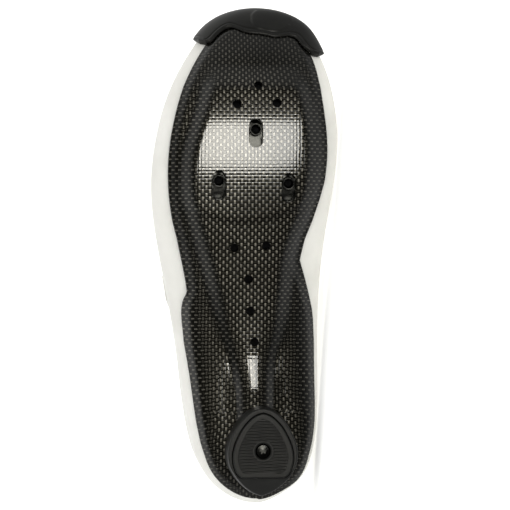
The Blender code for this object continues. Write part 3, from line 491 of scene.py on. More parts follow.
def tangent_frame(x, y):
    """A place on the last's bottom and its axes: across, along the slope, and the normal upwards."""
    step = 0.004
    along = np.array([0, 2 * step, float(bottom_over(x, y + step) - bottom_over(x, y - step))])
    along /= np.linalg.norm(along)
    across = np.array([1.0, 0, 0])
    return np.array([x, y, float(bottom_over(x, y))]), np.array([across, along, np.cross(across, along)])


def woven_carbon():
    """Plain-weave carbon cloth under clear epoxy: tows of two directions pass over each other cell by cell.
    Graphite reflects like a dark metal, and each tow is bright only along its own side; that sheen is painted
    into the base colour as bright dashes: one set where the plate lies flat, and on its side slopes, where
    the side attribute is full, the other, fainter. The strength attribute sets how bright both painted sheens
    are.
    Narrow grooves in the resin between the cells break up its reflections."""
    gloss = {"Metallic": 1.0, "Coat_Weight": 1.0, "Coat_Roughness": 0.02}
    made, shader = finish_named("woven_carbon", "#10100f", 0.52, **gloss)
    uv = add(made, "ShaderNodeUVMap", uv_map="weave").outputs[0]
    wander = add(made, "ShaderNodeTexNoise", {"Vector": uv, "Scale": 0.14 * PER_MM, "Detail": 2.0})
    small = {0: wander.outputs["Color"], 1: (TOW_WANDER, TOW_WANDER, 0)}
    shift = add(made, "ShaderNodeVectorMath", small, operation="MULTIPLY").outputs[0]
    bent = add(made, "ShaderNodeVectorMath", {0: uv, 1: shift}, operation="ADD").outputs[0]
    split = add(made, "ShaderNodeSeparateXYZ", {0: bent})
    cells = [do(made, "DIVIDE", split.outputs[k], TOW) for k in (0, 1)]
    whole = [do(made, "FLOOR", c) for c in cells]
    inside = [do(made, "SUBTRACT", do(made, "SUBTRACT", c, w), 0.5) for c, w in zip(cells, whole)]
    odd = do(made, "PINGPONG", do(made, "ADD", *whole), 1.0)
    even = do(made, "SUBTRACT", 1.0, odd)

    def dash(across, along, narrow, long):
        """1 in the middle of a tow's float, falling to 0 at its oval edge."""
        a = do(made, "POWER", do(made, "ABSOLUTE", do(made, "DIVIDE", across, narrow)), 2.2)
        b = do(made, "POWER", do(made, "ABSOLUTE", do(made, "DIVIDE", along, long)), 3.5)
        return do(made, "MAXIMUM", do(made, "SUBTRACT", 1.0, do(made, "ADD", a, b)), 0.0)

    painted_sheen_side = add(made, "ShaderNodeAttribute", attribute_name="painted_sheen_side").outputs["Fac"]
    painted_sheen_strength = add(made, "ShaderNodeAttribute", attribute_name="painted_sheen_strength").outputs["Fac"]
    warp = do(made, "MULTIPLY", dash(inside[0], inside[1], 0.34, 0.60), odd)
    weft = do(made, "MULTIPLY", dash(inside[1], inside[0], 0.26, 0.66), even)
    warp = do(made, "MULTIPLY", warp, do(made, "SUBTRACT", 1.0, painted_sheen_side))
    weft = do(made, "MULTIPLY", weft, do(made, "MULTIPLY_ADD", painted_sheen_side, 0.50, 0.14))
    fine = {"Vector": uv, "Scale": 0.7 * PER_MM, "Detail": 2.0, "Roughness": 0.6}
    fleck = add(made, "ShaderNodeTexNoise", fine).outputs["Fac"]
    broad = {"Vector": uv, "Scale": 0.035 * PER_MM, "Detail": 1.0}
    patch = add(made, "ShaderNodeTexNoise", broad).outputs["Fac"]
    painted_tow_sheen = do(made, "MULTIPLY", do(made, "ADD", warp, weft), do(made, "MULTIPLY_ADD", fleck, 1.1, 0.35))
    painted_tow_sheen = do(made, "MULTIPLY", painted_tow_sheen, do(made, "MULTIPLY_ADD", patch, 1.2, 0.3))
    # Painted sheen: the tows' dashes are painted into the base colour, from near black up to pale grey.
    ramp = add(made, "ShaderNodeValToRGB", {0: do(made, "MULTIPLY", painted_tow_sheen, painted_sheen_strength)})
    ramp.color_ramp.elements[0].color = linear("#151510")
    ramp.color_ramp.elements[1].color = linear("#a6a298")
    plug(made, ramp.outputs[0], shader, "Base Color")
    arch = [do(made, "COSINE", do(made, "MULTIPLY", c, math.pi)) for c in inside]
    height = do(made, "MULTIPLY", *arch)
    bump = add(made, "ShaderNodeBump", {"Height": height, "Strength": 0.35, "Distance": 0.0002})
    plug(made, bump.outputs[0], shader, "Normal")
    swell = do(made, "POWER", do(made, "MAXIMUM", height, 0.0), 0.45)
    skinned = add(made, "ShaderNodeBump", {"Height": swell, "Strength": 0.30, "Distance": 0.0001})
    plug(made, skinned.outputs[0], shader, "Coat Normal")
    return made


def cleat_bolts():
    """Bolt centres of the three-bolt pattern: a triangle turned about its rear middle."""
    own = np.array([(0, CLEAT_BOLT_REACH), (CLEAT_BOLT_SPACING / 2, 0), (-CLEAT_BOLT_SPACING / 2, 0)])
    c, s = math.cos(CLEAT_TURN), math.sin(CLEAT_TURN)
    return own @ np.array([[c, s], [-s, c]]) + (CLEAT_OFFSET, LENGTH * CLEAT_ALONG)


def hole_rings(x, y, radius, straight, flare):
    """A stadium or round prism along the bottom's normal, wider by flare where it leaves the lower face."""
    place, axes = tangent_frame(x, y)
    turn = np.linspace(0, 2 * np.pi, 48, endpoint=False)
    face = -(SEAT_GAP + FLANGE_THICKNESS + PLATFORM_HEIGHT)
    end = face - CUT_REACH
    heights = np.array([CUT_REACH, face + 0.0005, face + 0.0001, face - 0.0004, end, end])
    wide = np.array([0.0, 0.0, 0.35, 1.0, 2.0, 2.0]) * flare
    heights = np.concatenate([heights[:1], heights])
    scale = np.array([0, 1, 1, 1, 1, 1, 0])
    wide = np.concatenate([wide[:1], wide[:-1], [0]])
    r = (radius + wide)[:, None] * scale[:, None]
    u = r * np.cos(turn)
    v = r * np.sin(turn) + straight / 2 * np.sign(np.round(np.sin(turn), 9)) * scale[:, None]
    local = np.stack([u, v, heights[:, None] + 0 * u], -1)
    return place + local @ axes


def cut_away(piece, rings):
    """Takes the closed form of the rings out of the piece for good."""
    cutter = from_grids("cutter", [rings], piece.data.materials[0], around=True, smooth=False)
    cut = piece.modifiers.new("cut", "BOOLEAN")
    cut.operation = "DIFFERENCE"
    cut.object = cutter
    graph = bpy.context.evaluated_depsgraph_get()
    done = bpy.data.meshes.new_from_object(piece.evaluated_get(graph))
    piece.modifiers.clear()
    before, piece.data = piece.data, done
    bpy.data.meshes.remove(before)
    bpy.data.objects.remove(cutter)


def build_outsole():
    """The plate as one closed profile on every ray: lower face, rounded edge, upper face."""
    turn = even_turns(440)[None, :]
    edge = sole_edge(turn)
    edge_reach = np.cos(edge) ** (2 / lower_power(outline(turn)[1] / LENGTH))
    share = np.linspace(0, 1, 131)[:, None]
    angle = np.where(share < 1, angle_at(turn, edge_reach * share), edge)
    thin = eased((edge - angle) / EDGE_TAPER)
    thick = SOLE_EDGE_THICKNESS + (FLANGE_THICKNESS - SOLE_EDGE_THICKNESS) * thin
    lower = skin(turn, angle, SEAT_GAP + thick)
    fade = eased((edge - angle) / RELIEF_FADE)
    lower[..., 2] -= platform_relief(lower[..., 0], lower[..., 1]) * fade
    bend = np.radians(np.linspace(0, 180, 9))[1:-1, None]
    half = SOLE_EDGE_THICKNESS / 2
    rim = skin(turn, edge + math.radians(1.5) * np.sin(bend), SEAT_GAP + half + half * np.cos(bend))
    back = np.linspace(1, 0, 30)[:, None]
    inner = skin(turn, np.where(back < 1, angle_at(turn, edge_reach * back), edge), SEAT_GAP)
    whole = np.concatenate([lower, rim, inner])
    step = np.diff(lower, axis=0)
    run = np.concatenate([0 * share[:1] + 0 * turn, np.cumsum(np.linalg.norm(step, axis=-1), 0)])
    centre = lower[0]
    away = lower[-1, :, :2] - centre[:, :2]
    away /= np.maximum(np.linalg.norm(away, axis=-1, keepdims=True), 1e-6)
    cloth = centre[None, :, :2] + run[..., None] * away[None]
    cloth[..., 1] += 0.16 * np.abs(run) * eased((0.34 - lower[..., 1] / LENGTH) / 0.2)
    rest = np.repeat(cloth[-1:], len(rim) + len(inner), 0)
    cloth = np.concatenate([cloth, rest]).reshape(-1, 2)
    normal = np.cross(np.gradient(lower, axis=0), np.roll(lower, -1, 1) - np.roll(lower, 1, 1))
    facing = np.abs(normal[..., 2]) / np.maximum(np.linalg.norm(normal, axis=-1), 1e-12)
    sideways = np.abs(normal[..., 0]) / np.maximum(np.linalg.norm(normal, axis=-1), 1e-12)
    facing[0], sideways[0] = facing[1], sideways[1]
    others = np.ones((len(rim) + len(inner), turn.shape[1]))
    # Painted sheen: the next two attributes paint the tows' sheen into the carbon's colour. The first picks
    # which set of tows is painted bright, by how far the lower face turns sideways; the second sets how
    # bright the painted dashes are: full where the face lies flat, none on steep slopes, fainter towards the
    # heel and at the toe, and low on the rim and upper face.
    painted_sheen_side = np.concatenate([eased((sideways - 0.10) / 0.25), others]).ravel()
    place = lower[..., 1] / LENGTH
    strength = 0.78 + 0.22 * eased((place - 0.26) / 0.16) - 0.42 * eased((place - 0.84) / 0.06)
    painted_sheen_strength = np.concatenate([strength * eased((facing - 0.42) / 0.50), 0.2 * others]).ravel()
    marks = {"weave": cloth, "painted_sheen_side": painted_sheen_side, "painted_sheen_strength": painted_sheen_strength}
    piece = from_grids("carbon_outsole", [whole], woven_carbon(), around=True, extra=marks)
    straight = SLOT_LENGTH - 2 * SLOT_RADIUS
    for x, y in cleat_bolts():
        cut_away(piece, hole_rings(x, y - SLOT_BEHIND_NUT, SLOT_RADIUS, straight, SLOT_FLARE))
    for along, across in VENTS:
        cut_away(piece, hole_rings(BALL_WIDTH * across, LENGTH * along, VENT_RADIUS, 0.0, VENT_FLARE))
    piece.data.set_sharp_from_angle(angle=math.radians(32))
    return piece


outsole = build_outsole()
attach(outsole, "root")
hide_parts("outsole")


# Cleat nuts: three sliding steel inserts, each a flange lying on the plate inside the shoe and a threaded
# barrel that stands in its slot, blackened, with a turned groove round the bore.

NUT_RADIUS = 0.00325
NUT_BORE = 0.0021
NUT_LENGTH = 0.0053
NUT_FLANGE = (0.0115, 0.0190, 0.0010)
THREAD_PITCH = 0.0008
NUT_NAMES = ("cleat_nut_front", "cleat_nut_rear_lateral", "cleat_nut_rear_medial")


def black_steel():
    """Blackened steel: dark, half polished by handling, with fine turning marks."""
    made, shader = finish_named("black_steel", "#383836", 0.26, Metallic=1.0)
    place = add(made, "ShaderNodeTexCoord").outputs["Object"]
    marks = add(made, "ShaderNodeTexNoise", {"Vector": place, "Scale": 1.8 * PER_MM, "Detail": 3.0})
    ramp = add(made, "ShaderNodeValToRGB", {0: marks.outputs["Fac"]})
    ramp.color_ramp.elements[0].color = linear("#1a1a19")
    ramp.color_ramp.elements[1].color = linear("#3e3e3c")
    plug(made, ramp.outputs[0], shader, "Base Color")
    relief = {"Height": marks.outputs["Fac"], "Strength": 0.15, "Distance": 0.00005}
    plug(made, add(made, "ShaderNodeBump", relief).outputs[0], shader, "Normal")
    return made


steel = black_steel()


def build_nut(name, x, y):
    """Rings from the bore over the face, up the barrel, round the flange and back down into the bore."""
    place, axes = tangent_frame(x, y)
    u, v = np.meshgrid(np.linspace(-0.5, 0.5, 7), np.linspace(-0.5, 0.5, 9))
    spots = np.stack([NUT_FLANGE[0] * u, NUT_FLANGE[1] * v - SLOT_BEHIND_NUT, 0 * u], -1)
    spots = place + spots @ axes
    lift = np.max(bottom_over(spots[..., 0], spots[..., 1]) - spots[..., 2])
    turn = np.linspace(0, 2 * np.pi, 64, endpoint=False)[None, :]
    depth = np.linspace(0.0, 1.0, 43)[:, None]
    bore_z = NUT_FLANGE[2] - 0.0003 - depth * (NUT_LENGTH + NUT_FLANGE[2] - 0.0008)
    thread = NUT_BORE + 0.00012 * np.cos(2 * np.pi * bore_z / THREAD_PITCH)
    bottom_z = -NUT_LENGTH
    profile = np.array([
        (NUT_BORE + 0.00035, bottom_z + 0.00010),
        (NUT_BORE + 0.00045, bottom_z + 0.00003),
        (0.00268, bottom_z + 0.00003),
        (0.00273, bottom_z - 0.00020),
        (0.00280, bottom_z - 0.00025),
        (0.00300, bottom_z - 0.00025),
        (0.00318, bottom_z - 0.00015),
        (NUT_RADIUS, bottom_z + 0.00010),
        (NUT_RADIUS, -0.0001),
    ])
    round_part = np.concatenate([np.concatenate([thread, bore_z], 1), profile])
    r, z = round_part[:, :1], round_part[:, 1:]
    rings = np.stack([r * np.cos(turn), r * np.sin(turn), z + 0 * turn], -1)
    corner = [np.sign(f(turn)) * np.abs(f(turn)) ** 0.4 / 2 for f in (np.cos, np.sin)]
    wide, long, thick = NUT_FLANGE
    sizes = [(0.45, 0.0), (0.96, 0.0), (1.0, 0.0002), (1.0, 0.0008), (0.96, thick), (0.45, thick)]
    plates = [
        np.stack([
            wide * size * corner[0],
            long * size * corner[1] - SLOT_BEHIND_NUT * size,
            z + 0 * turn,
        ], -1)
        for size, z in sizes
    ]
    whole = np.concatenate([rings, *plates, rings[:1]])
    whole[..., 2] += lift
    return from_grids(name, [place + whole @ axes], steel, around=True)


for name, (x, y) in zip(NUT_NAMES, cleat_bolts()):
    nut = build_nut("steel_" + name, x, y)
    nut.data.set_sharp_from_angle(angle=math.radians(40))
    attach(nut, "root")
    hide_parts(name)


# Upper: off-white coated microfibre with a foam backing and a black knitted lining, lasted over the form,
# turned in under the insole and bonded to the plate. Panels overlap at stitched seams, and a rolled binding
# closes the edge.

UPPER_WALL = 0.0020
COLLAR_HEIGHT = 0.087
THROAT_WIDTH = 0.034
THROAT_END = 0.690
BINDING_RADIUS = 0.0012
HOLE_PITCH = 0.0042
STITCH_LENGTH = 0.0015
STITCH_INSET = 0.0019
PANEL_RISE = 0.0030
TOE_CAP_RISE = 0.0012
COLLAR = np.array([
    # along, height as a share of COLLAR_HEIGHT
    (0.00, 1.000),
    (0.05, 0.975),
    (0.11, 0.900),
    (0.17, 0.825),
    (0.23, 0.800),
    (0.29, 0.835),
    (0.34, 0.915),
    (0.39, 1.030),
    (0.45, 1.160),
])
THROAT = np.array([
    # along, half gap as a share of THROAT_WIDTH
    (0.34, 0.62),
    (0.40, 0.52),
    (0.50, 0.39),
    (0.60, 0.30),
    (0.66, 0.24),
    (0.68, 0.17),
    (0.69, 0.00),
])


def upper_edge(turn):
    """Angle of the upper's top edge: the ridge on the closed vamp, else the lower of throat and collar
    line."""
    ox, oy = outline(turn)
    share = oy / LENGTH
    gap = THROAT_WIDTH * np.interp(share, THROAT[:, 0], THROAT[:, 1])
    throat = angle_at(turn, gap / np.maximum(np.abs(ox - spine(oy)), 0.01), upper=True)
    here = (share > THROAT[0, 0] - 0.04) & (share < THROAT_END - 1e-6)
    throat = np.where(here, throat, math.pi / 2)
    side = bottom(oy) + WIDEST_HEIGHT * widest(share)
    line = COLLAR_HEIGHT * spline(COLLAR[:, 0], COLLAR[:, 1])(share)
    rise = np.clip((line - side) / (INSTEP_HEIGHT * top(share) - side), 0, 1)
    collar = np.arcsin(rise ** (upper_power(share) / 2))
    return np.minimum(throat, np.where(share > COLLAR[-1, 0], math.pi / 2, collar))


def lasting_margin(turn):
    """Angle where the turned-in margin ends, inside the plate's edge."""
    return np.minimum(math.radians(-52), sole_edge(turn) - math.radians(6))


def white_synthetic(name, seams, pierced=None):
    """Coated microfibre: satin off-white film with a fine pebble grain, a little greyed by handling. Each
    seam is an attribute with the distance from a panel's cut edge, and the axis of the run map that its
    stitches follow: 0, 1, or 2 for the second less the first. Where the attribute pierced is full, small
    round holes stand in rows."""
    made, shader = finish_named(name, "#f0efea", 0.46, Specular_IOR_Level=0.4, Sheen_Weight=0.08)
    place = add(made, "ShaderNodeTexCoord").outputs["Object"]
    run = add(made, "ShaderNodeSeparateXYZ", {0: add(made, "ShaderNodeUVMap", uv_map="run").outputs[0]})
    ways = [run.outputs[0], run.outputs[1], do(made, "SUBTRACT", run.outputs[1], run.outputs[0])]
    grain = add(made, "ShaderNodeTexVoronoi", {"Vector": place, "Scale": 1.5 * PER_MM}, feature="SMOOTH_F1")
    height = do(made, "MULTIPLY", grain.outputs["Distance"], 0.10)
    thread = None
    for attribute, axis in seams:
        away = add(made, "ShaderNodeAttribute", attribute_name=attribute).outputs["Fac"]
        limits = {0: away, 1: -0.0003, 2: 0.0003}
        step = add(made, "ShaderNodeMapRange", limits, interpolation_type="SMOOTHSTEP")
        off = do(made, "ABSOLUTE", do(made, "SUBTRACT", away, STITCH_INSET))
        line = add(made, "ShaderNodeMapRange", {0: off, 1: 0.00042, 2: 0.00024}).outputs[0]
        sunk = add(made, "ShaderNodeMapRange", {0: off, 1: 0.0011, 2: 0.0002}).outputs[0]
        beat = do(made, "PINGPONG", do(made, "DIVIDE", ways[axis], STITCH_LENGTH), 1.0)
        drawn = add(made, "ShaderNodeMapRange", {0: beat, 1: 0.22, 2: 0.38}).outputs[0]
        stitch = do(made, "MULTIPLY", line, drawn)
        height = do(made, "ADD", height, step.outputs[0])
        height = do(made, "MULTIPLY_ADD", sunk, -0.45, height)
        height = do(made, "MULTIPLY_ADD", stitch, 0.65, height)
        thread = stitch if thread is None else do(made, "MAXIMUM", thread, stitch)
    hole = None
    if pierced:
        parts = [do(made, "DIVIDE", run.outputs[k], HOLE_PITCH) for k in (0, 1)]
        off = [do(made, "SUBTRACT", do(made, "FRACT", p), 0.5) for p in parts]
        away = do(made, "SQRT", do(made, "ADD", *(do(made, "MULTIPLY", o, o) for o in off)))
        hole = add(made, "ShaderNodeMapRange", {0: away, 1: 0.16, 2: 0.12}).outputs[0]
        mask = add(made, "ShaderNodeAttribute", attribute_name=pierced).outputs["Fac"]
        hole = do(made, "MULTIPLY", hole, do(made, "GREATER_THAN", mask, 0.5))
        height = do(made, "MULTIPLY_ADD", hole, -1.5, height)
    soft = add(made, "ShaderNodeTexNoise", {"Vector": place, "Scale": 0.06 * PER_MM, "Detail": 4.0})
    ramp = add(made, "ShaderNodeValToRGB", {0: soft.outputs["Fac"]})
    ramp.color_ramp.elements[0].position = 0.3
    ramp.color_ramp.elements[0].color = linear("#e3e2dc")
    ramp.color_ramp.elements[1].position = 0.7
    ramp.color_ramp.elements[1].color = linear("#edece7")
    colour = ramp.outputs[0]
    if thread is not None:
        mixed = add(made, "ShaderNodeMix", {0: thread, 6: colour, 7: linear("#d5d3cb")}, data_type="RGBA")
        colour = mixed.outputs[2]
    if hole is not None:
        mixed = add(made, "ShaderNodeMix", {0: hole, 6: colour, 7: linear("#2a2a28")}, data_type="RGBA")
        colour = mixed.outputs[2]
    plug(made, colour, shader, "Base Color")
    bump = add(made, "ShaderNodeBump", {"Height": height, "Strength": 0.7, "Distance": 0.0004})
    plug(made, bump.outputs[0], shader, "Normal")
    return made


def black_knit(name, colour, scale):
    """Knitted lining: matte black loops a little under a millimetre apart, with painted highlights on their
    crowns and painted shade between them.
    """
    made, shader = finish_named(name, colour, 0.92, Specular_IOR_Level=0.2, Sheen_Weight=0.25)
    place = add(made, "ShaderNodeTexCoord").outputs["Object"]
    pattern = {"Vector": place, "Scale": scale, "Randomness": 0.35}
    loops = add(made, "ShaderNodeTexVoronoi", pattern, feature="F1").outputs["Distance"]
    # Painted highlight and shade: each loop's crown is painted lighter and the gaps between loops darker.
    ramp = add(made, "ShaderNodeValToRGB", {0: loops})
    ramp.color_ramp.elements[0].color = linear("#2c2c2e")
    ramp.color_ramp.elements[1].color = linear("#0e0e0f")
    plug(made, ramp.outputs[0], shader, "Base Color")
    relief = {"Height": loops, "Strength": 0.6, "Distance": 0.0003}
    plug(made, add(made, "ShaderNodeBump", relief, invert=True).outputs[0], shader, "Normal")
    return made


lining = black_knit("black_knit", "#1c1c1d", 1.2 * PER_MM)


def run_up(sheet):
    """Length walked up each column of a grid from its first row."""
    step = np.linalg.norm(np.diff(sheet, axis=0), axis=-1)
    return np.concatenate([0 * step[:1], np.cumsum(step, 0)])


def build_upper():
    """An open sheet from the margin up to the edge on every ray, joined at the ridge, then given its wall."""
    turn = even_turns(400)[None, :]
    share = np.linspace(0, 1, 88)[:, None]
    margin, edge = lasting_margin(turn), upper_edge(turn)
    sheet = skin(turn, margin + (edge - margin) * share)
    up = run_up(sheet)
    along = sheet[..., 1] / LENGTH
    height = (sheet[..., 2] - bottom(sheet[..., 1])) / 0.06
    # length above the widest line, which each column crosses where its angle is 0
    row = -margin / (edge - margin) * (len(share) - 1)
    under = np.floor(row).astype(int)
    rest = row - under
    above = up - (1 - rest) * np.take_along_axis(up, under, 0) - rest * np.take_along_axis(up, under + 1, 0)
    counter = LENGTH * (0.335 - 0.17 * np.maximum(height, 0) ** 1.4 - along) * 0.8
    counter = np.minimum(counter, above - PANEL_RISE * np.where(turn % 1.0 < 0.5, 1.0, -1.0))
    across = np.abs(sheet[..., 0] - spine(sheet[..., 1]))
    toe_cap = LENGTH * (along - 0.765 - 0.17 * (across / 0.04) ** 2) * 0.8
    toe_cap = np.minimum(toe_cap, above - TOE_CAP_RISE)
    opened = (outline(turn)[1] < THROAT_END * LENGTH) & (edge < math.pi / 2)
    to_edge = up[-1:] - up
    facing = np.where(opened, 0.0125 - to_edge, -0.05 - 0 * up)
    run = np.stack([sheet[..., 1], up], -1).reshape(-1, 2)
    angle = margin + (edge - margin) * share
    vamp = eased((0.752 - along) / 0.01) * eased((along - 0.664) / 0.008) * eased((angle - 0.95) / 0.1)
    quarter = eased((0.62 - along) / 0.01) * eased((along - 0.42) / 0.01) * eased((angle - 0.28) / 0.05)
    quarter = quarter * eased((0.62 - angle) / 0.05)
    marks = {"run": run, "counter": counter.ravel(), "toe_cap": toe_cap.ravel(), "facing": facing.ravel()}
    marks["pierced"] = np.maximum(vamp, quarter).ravel()
    finish = white_synthetic("white_microfibre", [("counter", 2), ("toe_cap", 2), ("facing", 0)], "pierced")
    piece = from_grids("white_upper", [sheet], finish, around=True, extra=marks)
    piece.data.materials.append(lining)
    wall = piece.modifiers.new("wall", "SOLIDIFY")
    wall.thickness = UPPER_WALL
    wall.offset = -1
    wall.use_even_offset = True
    wall.material_offset = 1
    return piece


def build_binding():
    """A rolled tape along the collar and throat: a round tube on the middle of the wall's edge."""
    fine = np.linspace(-half_turn(THROAT_END) / 2, half_turn(THROAT_END) / 2, 6001)
    path = skin(fine, upper_edge(fine), -UPPER_WALL / 2)
    run = np.concatenate([[0], np.cumsum(np.linalg.norm(np.diff(path, axis=0), axis=1))])
    even = np.linspace(0, run[-1], 560, endpoint=False)
    path = np.stack([np.interp(even, run, path[:, k]) for k in range(3)], -1)
    for _ in range(3):
        path = (np.roll(path, 1, 0) + 2 * path + np.roll(path, -1, 0)) / 4
    ahead = np.roll(path, -1, 0) - np.roll(path, 1, 0)
    ahead /= np.linalg.norm(ahead, axis=1, keepdims=True)
    out = path - path.mean(0)
    out -= ahead * np.sum(out * ahead, 1, keepdims=True)
    out /= np.linalg.norm(out, axis=1, keepdims=True)
    other = np.cross(ahead, out)
    bend = np.linspace(0, 2 * np.pi, 14)[:, None, None]
    tube = path[None] + BINDING_RADIUS * (np.cos(bend) * out[None] + np.sin(bend) * other[None])
    wrapped = np.stack(np.broadcast_arrays(even[None, :], bend[..., 0] * BINDING_RADIUS), -1)
    marks = {"run": wrapped.reshape(-1, 2)}
    return from_grids("white_binding", [tube], white_synthetic("white_tape", []), around=True, extra=marks)


upper, binding = build_upper(), build_binding()
for piece in (upper, binding):
    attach(piece, "root")
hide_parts("upper")


# Insole: a removable moulded foam footbed with a fine knitted cover, lying on the turned-in margin of the
# upper.

INSOLE_THICKNESS = 0.0036
LINING_GAP = 0.0006
INSOLE_ROWS = np.array([
    # place from the middle to the edge, thickness as a share of INSOLE_THICKNESS
    (0.00, 1.0),
    (0.40, 1.0),
    (0.64, 1.0),
    (0.80, 0.9),
    (0.91, 0.7),
    (1.00, 0.4),
])


def build_insole():
    """Rays from the middle out: the upper face, a rounded edge, and the lower face back to the middle."""
    turn = even_turns(240)[None, :]
    edge = np.clip(sole_edge(turn), math.radians(-40), math.radians(-30))
    share = 1 - (1 - np.linspace(0, 1, 44)[:, None]) ** 1.3
    angle = -math.pi / 2 + (edge + math.pi / 2) * share
    thick = INSOLE_THICKNESS * np.interp(share, INSOLE_ROWS[:, 0], INSOLE_ROWS[:, 1])
    base = -(UPPER_WALL + LINING_GAP)
    bend = np.linspace(0, np.pi, 8)[1:-1, None]
    half = thick[-1] / 2
    rim = skin(turn, edge + math.radians(1.2) * np.sin(bend), base - half - half * np.cos(bend))
    whole = np.concatenate([skin(turn, angle, base - thick), rim, skin(turn, angle[::-1], base)])
    return from_grids("foam_insole", [whole], black_knit("insole_knit", "#1c1c1d", 1.5 * PER_MM), around=True)


insole = build_insole()
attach(insole, "root")
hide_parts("insole")


# Straps and tongue: three hook-and-loop straps over a padded tongue with quilted channels; all are cut from
# sheet with soft rounded borders, laid on the last's surface and edged with a row of stitches.

STRAP_GAP = 0.0002
STRAP_WIDTH = 0.021
STRAP_THICKNESS = 0.0018
TONGUE_GAP = 0.0009
TONGUE_THICKNESS = 0.0032
TONGUE_HALF_WIDTH = 0.023
TONGUE = np.array([
    # along, half width as a share of TONGUE_HALF_WIDTH
    (0.352, 0.56),
    (0.420, 0.80),
    (0.600, 0.86),
    (0.722, 0.62),
])
CHANNEL_PITCH = 0.0105
CHANNEL_DEPTH = 0.34
CHANNEL_WIDTH = 0.0011
STRAPS = [
    # name, along, slant, width share, medial end, lateral end
    ("strap_front", 0.635, 0.020, 0.90, 28.0, 25.0),
    ("strap_middle", 0.530, 0.022, 0.95, 26.0, 22.0),
    ("strap_top", 0.425, 0.024, 1.25, 24.0, 18.0),
]


def in_from_border(grid):
    """Distance of each point to the nearest border of its grid, along the rows and the columns."""
    def ends(axis):
        step = np.linalg.norm(np.diff(grid, axis=axis), axis=-1)
        first = np.take(step, [0], axis) * 0
        run = np.concatenate([first, np.cumsum(step, axis)], axis)
        return np.minimum(run, np.take(run, [-1], axis) - run)

    return np.minimum(ends(0), ends(1))


def soft_sheet(name, turn, angle, base, thickness, roundness, finish, relief=0.0):
    """A closed sheet: its inner face on the last at base, its outer face raised by a quarter-round border."""
    inner = skin(turn, angle, base)
    border = in_from_border(inner)
    near = np.clip(border / roundness, 0, 1)
    rise = thickness * np.sqrt(1 - (1 - near) ** 2)
    outer = skin(turn, angle, base + rise * (1 - relief))
    run = np.stack([inner[..., 1], inner[..., 0]], -1).reshape(-1, 2)
    border = np.concatenate([border.ravel(), 0 * border.ravel()])
    marks = {"run": np.concatenate([run, run]), "border": border}
    return from_grids(name, [outer, inner], finish, extra=marks)


def over_top(along, across):
    """Ray and angle over the dome: across runs from -1, the medial widest line, over 0, the ridge, to 1, the
    lateral one."""
    half = half_turn(along) / 2
    return np.where(across >= 0, half, 1 - half), math.pi / 2 * (1 - np.abs(across))


def clustered(count):
    """Shares from 0 to 1, closer together near both ends: (1 - cos(pi s)) / 2."""
    return (1 - np.cos(np.pi * np.linspace(0, 1, count))) / 2


strap_white = white_synthetic("strap_microfibre", [("border", 1)])
for name, place, slant, width, medial_end, lateral_end in STRAPS:
    run = clustered(110)[None, :]
    side = (2 * clustered(40) - 1)[:, None]
    across = -(1 - medial_end / 90) + (2 - (medial_end + lateral_end) / 90) * run
    tip = np.clip((1 - run) / 0.10, 0, 1)
    half_width = STRAP_WIDTH * width / 2 * np.sqrt(np.clip(1 - (1 - tip) ** 2, 0.30, 1))
    along = place + slant * (run - 0.5) + side * half_width / LENGTH
    ray, angle = over_top(along, across + 0 * side)
    strap = soft_sheet("white_" + name, ray, angle, STRAP_GAP, STRAP_THICKNESS, 0.0009, strap_white)
    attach(strap, "root")
    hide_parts(name)


def build_tongue():
    """The padded tongue: channels across it press the foam down by about a third every few millimetres."""
    start, end = TONGUE[[0, -1], 0]
    along = (start + (end - start) * clustered(120))[:, None]
    side = (2 * clustered(48) - 1)[None, :]
    reach = side * TONGUE_HALF_WIDTH * np.interp(along, TONGUE[:, 0], TONGUE[:, 1])
    half = half_turn(along)
    span = BALL_WIDTH * (lateral_reach(half) + medial_reach(half)) / 2
    lowered = np.arccos((np.abs(reach) / span) ** (upper_power(along) / 2))
    across = np.sign(side) * (1 - lowered / (math.pi / 2))
    ray, angle = over_top(along + 0 * side, across)
    from_channel = np.abs((along * LENGTH / CHANNEL_PITCH + 0.5) % 1.0 - 0.5) * CHANNEL_PITCH
    channels = CHANNEL_DEPTH * np.exp(-((from_channel / CHANNEL_WIDTH) ** 2)) * (np.abs(side) < 0.82)
    base = -(UPPER_WALL + TONGUE_GAP + TONGUE_THICKNESS)
    finish = white_synthetic("tongue_microfibre", [("border", 0)])
    return soft_sheet("padded_tongue", ray, angle, base, TONGUE_THICKNESS, 0.005, finish, channels)


tongue = build_tongue()
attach(tongue, "root")
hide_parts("tongue")


# Toe bumper: charcoal rubber moulded as a cap with a rolled rim and a raised lens in its middle, bonded over
# the plate's front edge and up the front of the upper.

BUMPER_WALL = 0.0020
BUMPER_GAP = 0.0006
BUMPER_LIP = 0.0010
BUMPER_TOP_ANGLE = 24.0
BUMPER_END_ANGLE = -8.0
LENS_PLACE = (-0.0075, 0.2557)
LENS_REACH = (0.0112, 0.0062)
LENS_HEIGHT = 0.00045
BUMPER_ROUND = 0.0013
RIM_GROOVE_DEPTH = 0.00030
RIM_GROOVE_INSET = 0.0027
RIM_GROOVE_WIDTH = 0.0006
BUMPER_EDGE = np.array([
    # turn about the toe pole in degrees, reach as a share of the ray
    (-64.0, 0.930),
    (-61.0, 0.870),
    (-58.0, 0.840),
    (-51.0, 0.796),
    (-42.0, 0.785),
    (-36.0, 0.740),
    (-28.0, 0.666),
    (-16.0, 0.648),
    (0.0, 0.660),
    (10.0, 0.716),
    (18.0, 0.800),
    (28.0, 0.815),
    (38.0, 0.800),
    (45.0, 0.840),
    (48.5, 0.930),
])


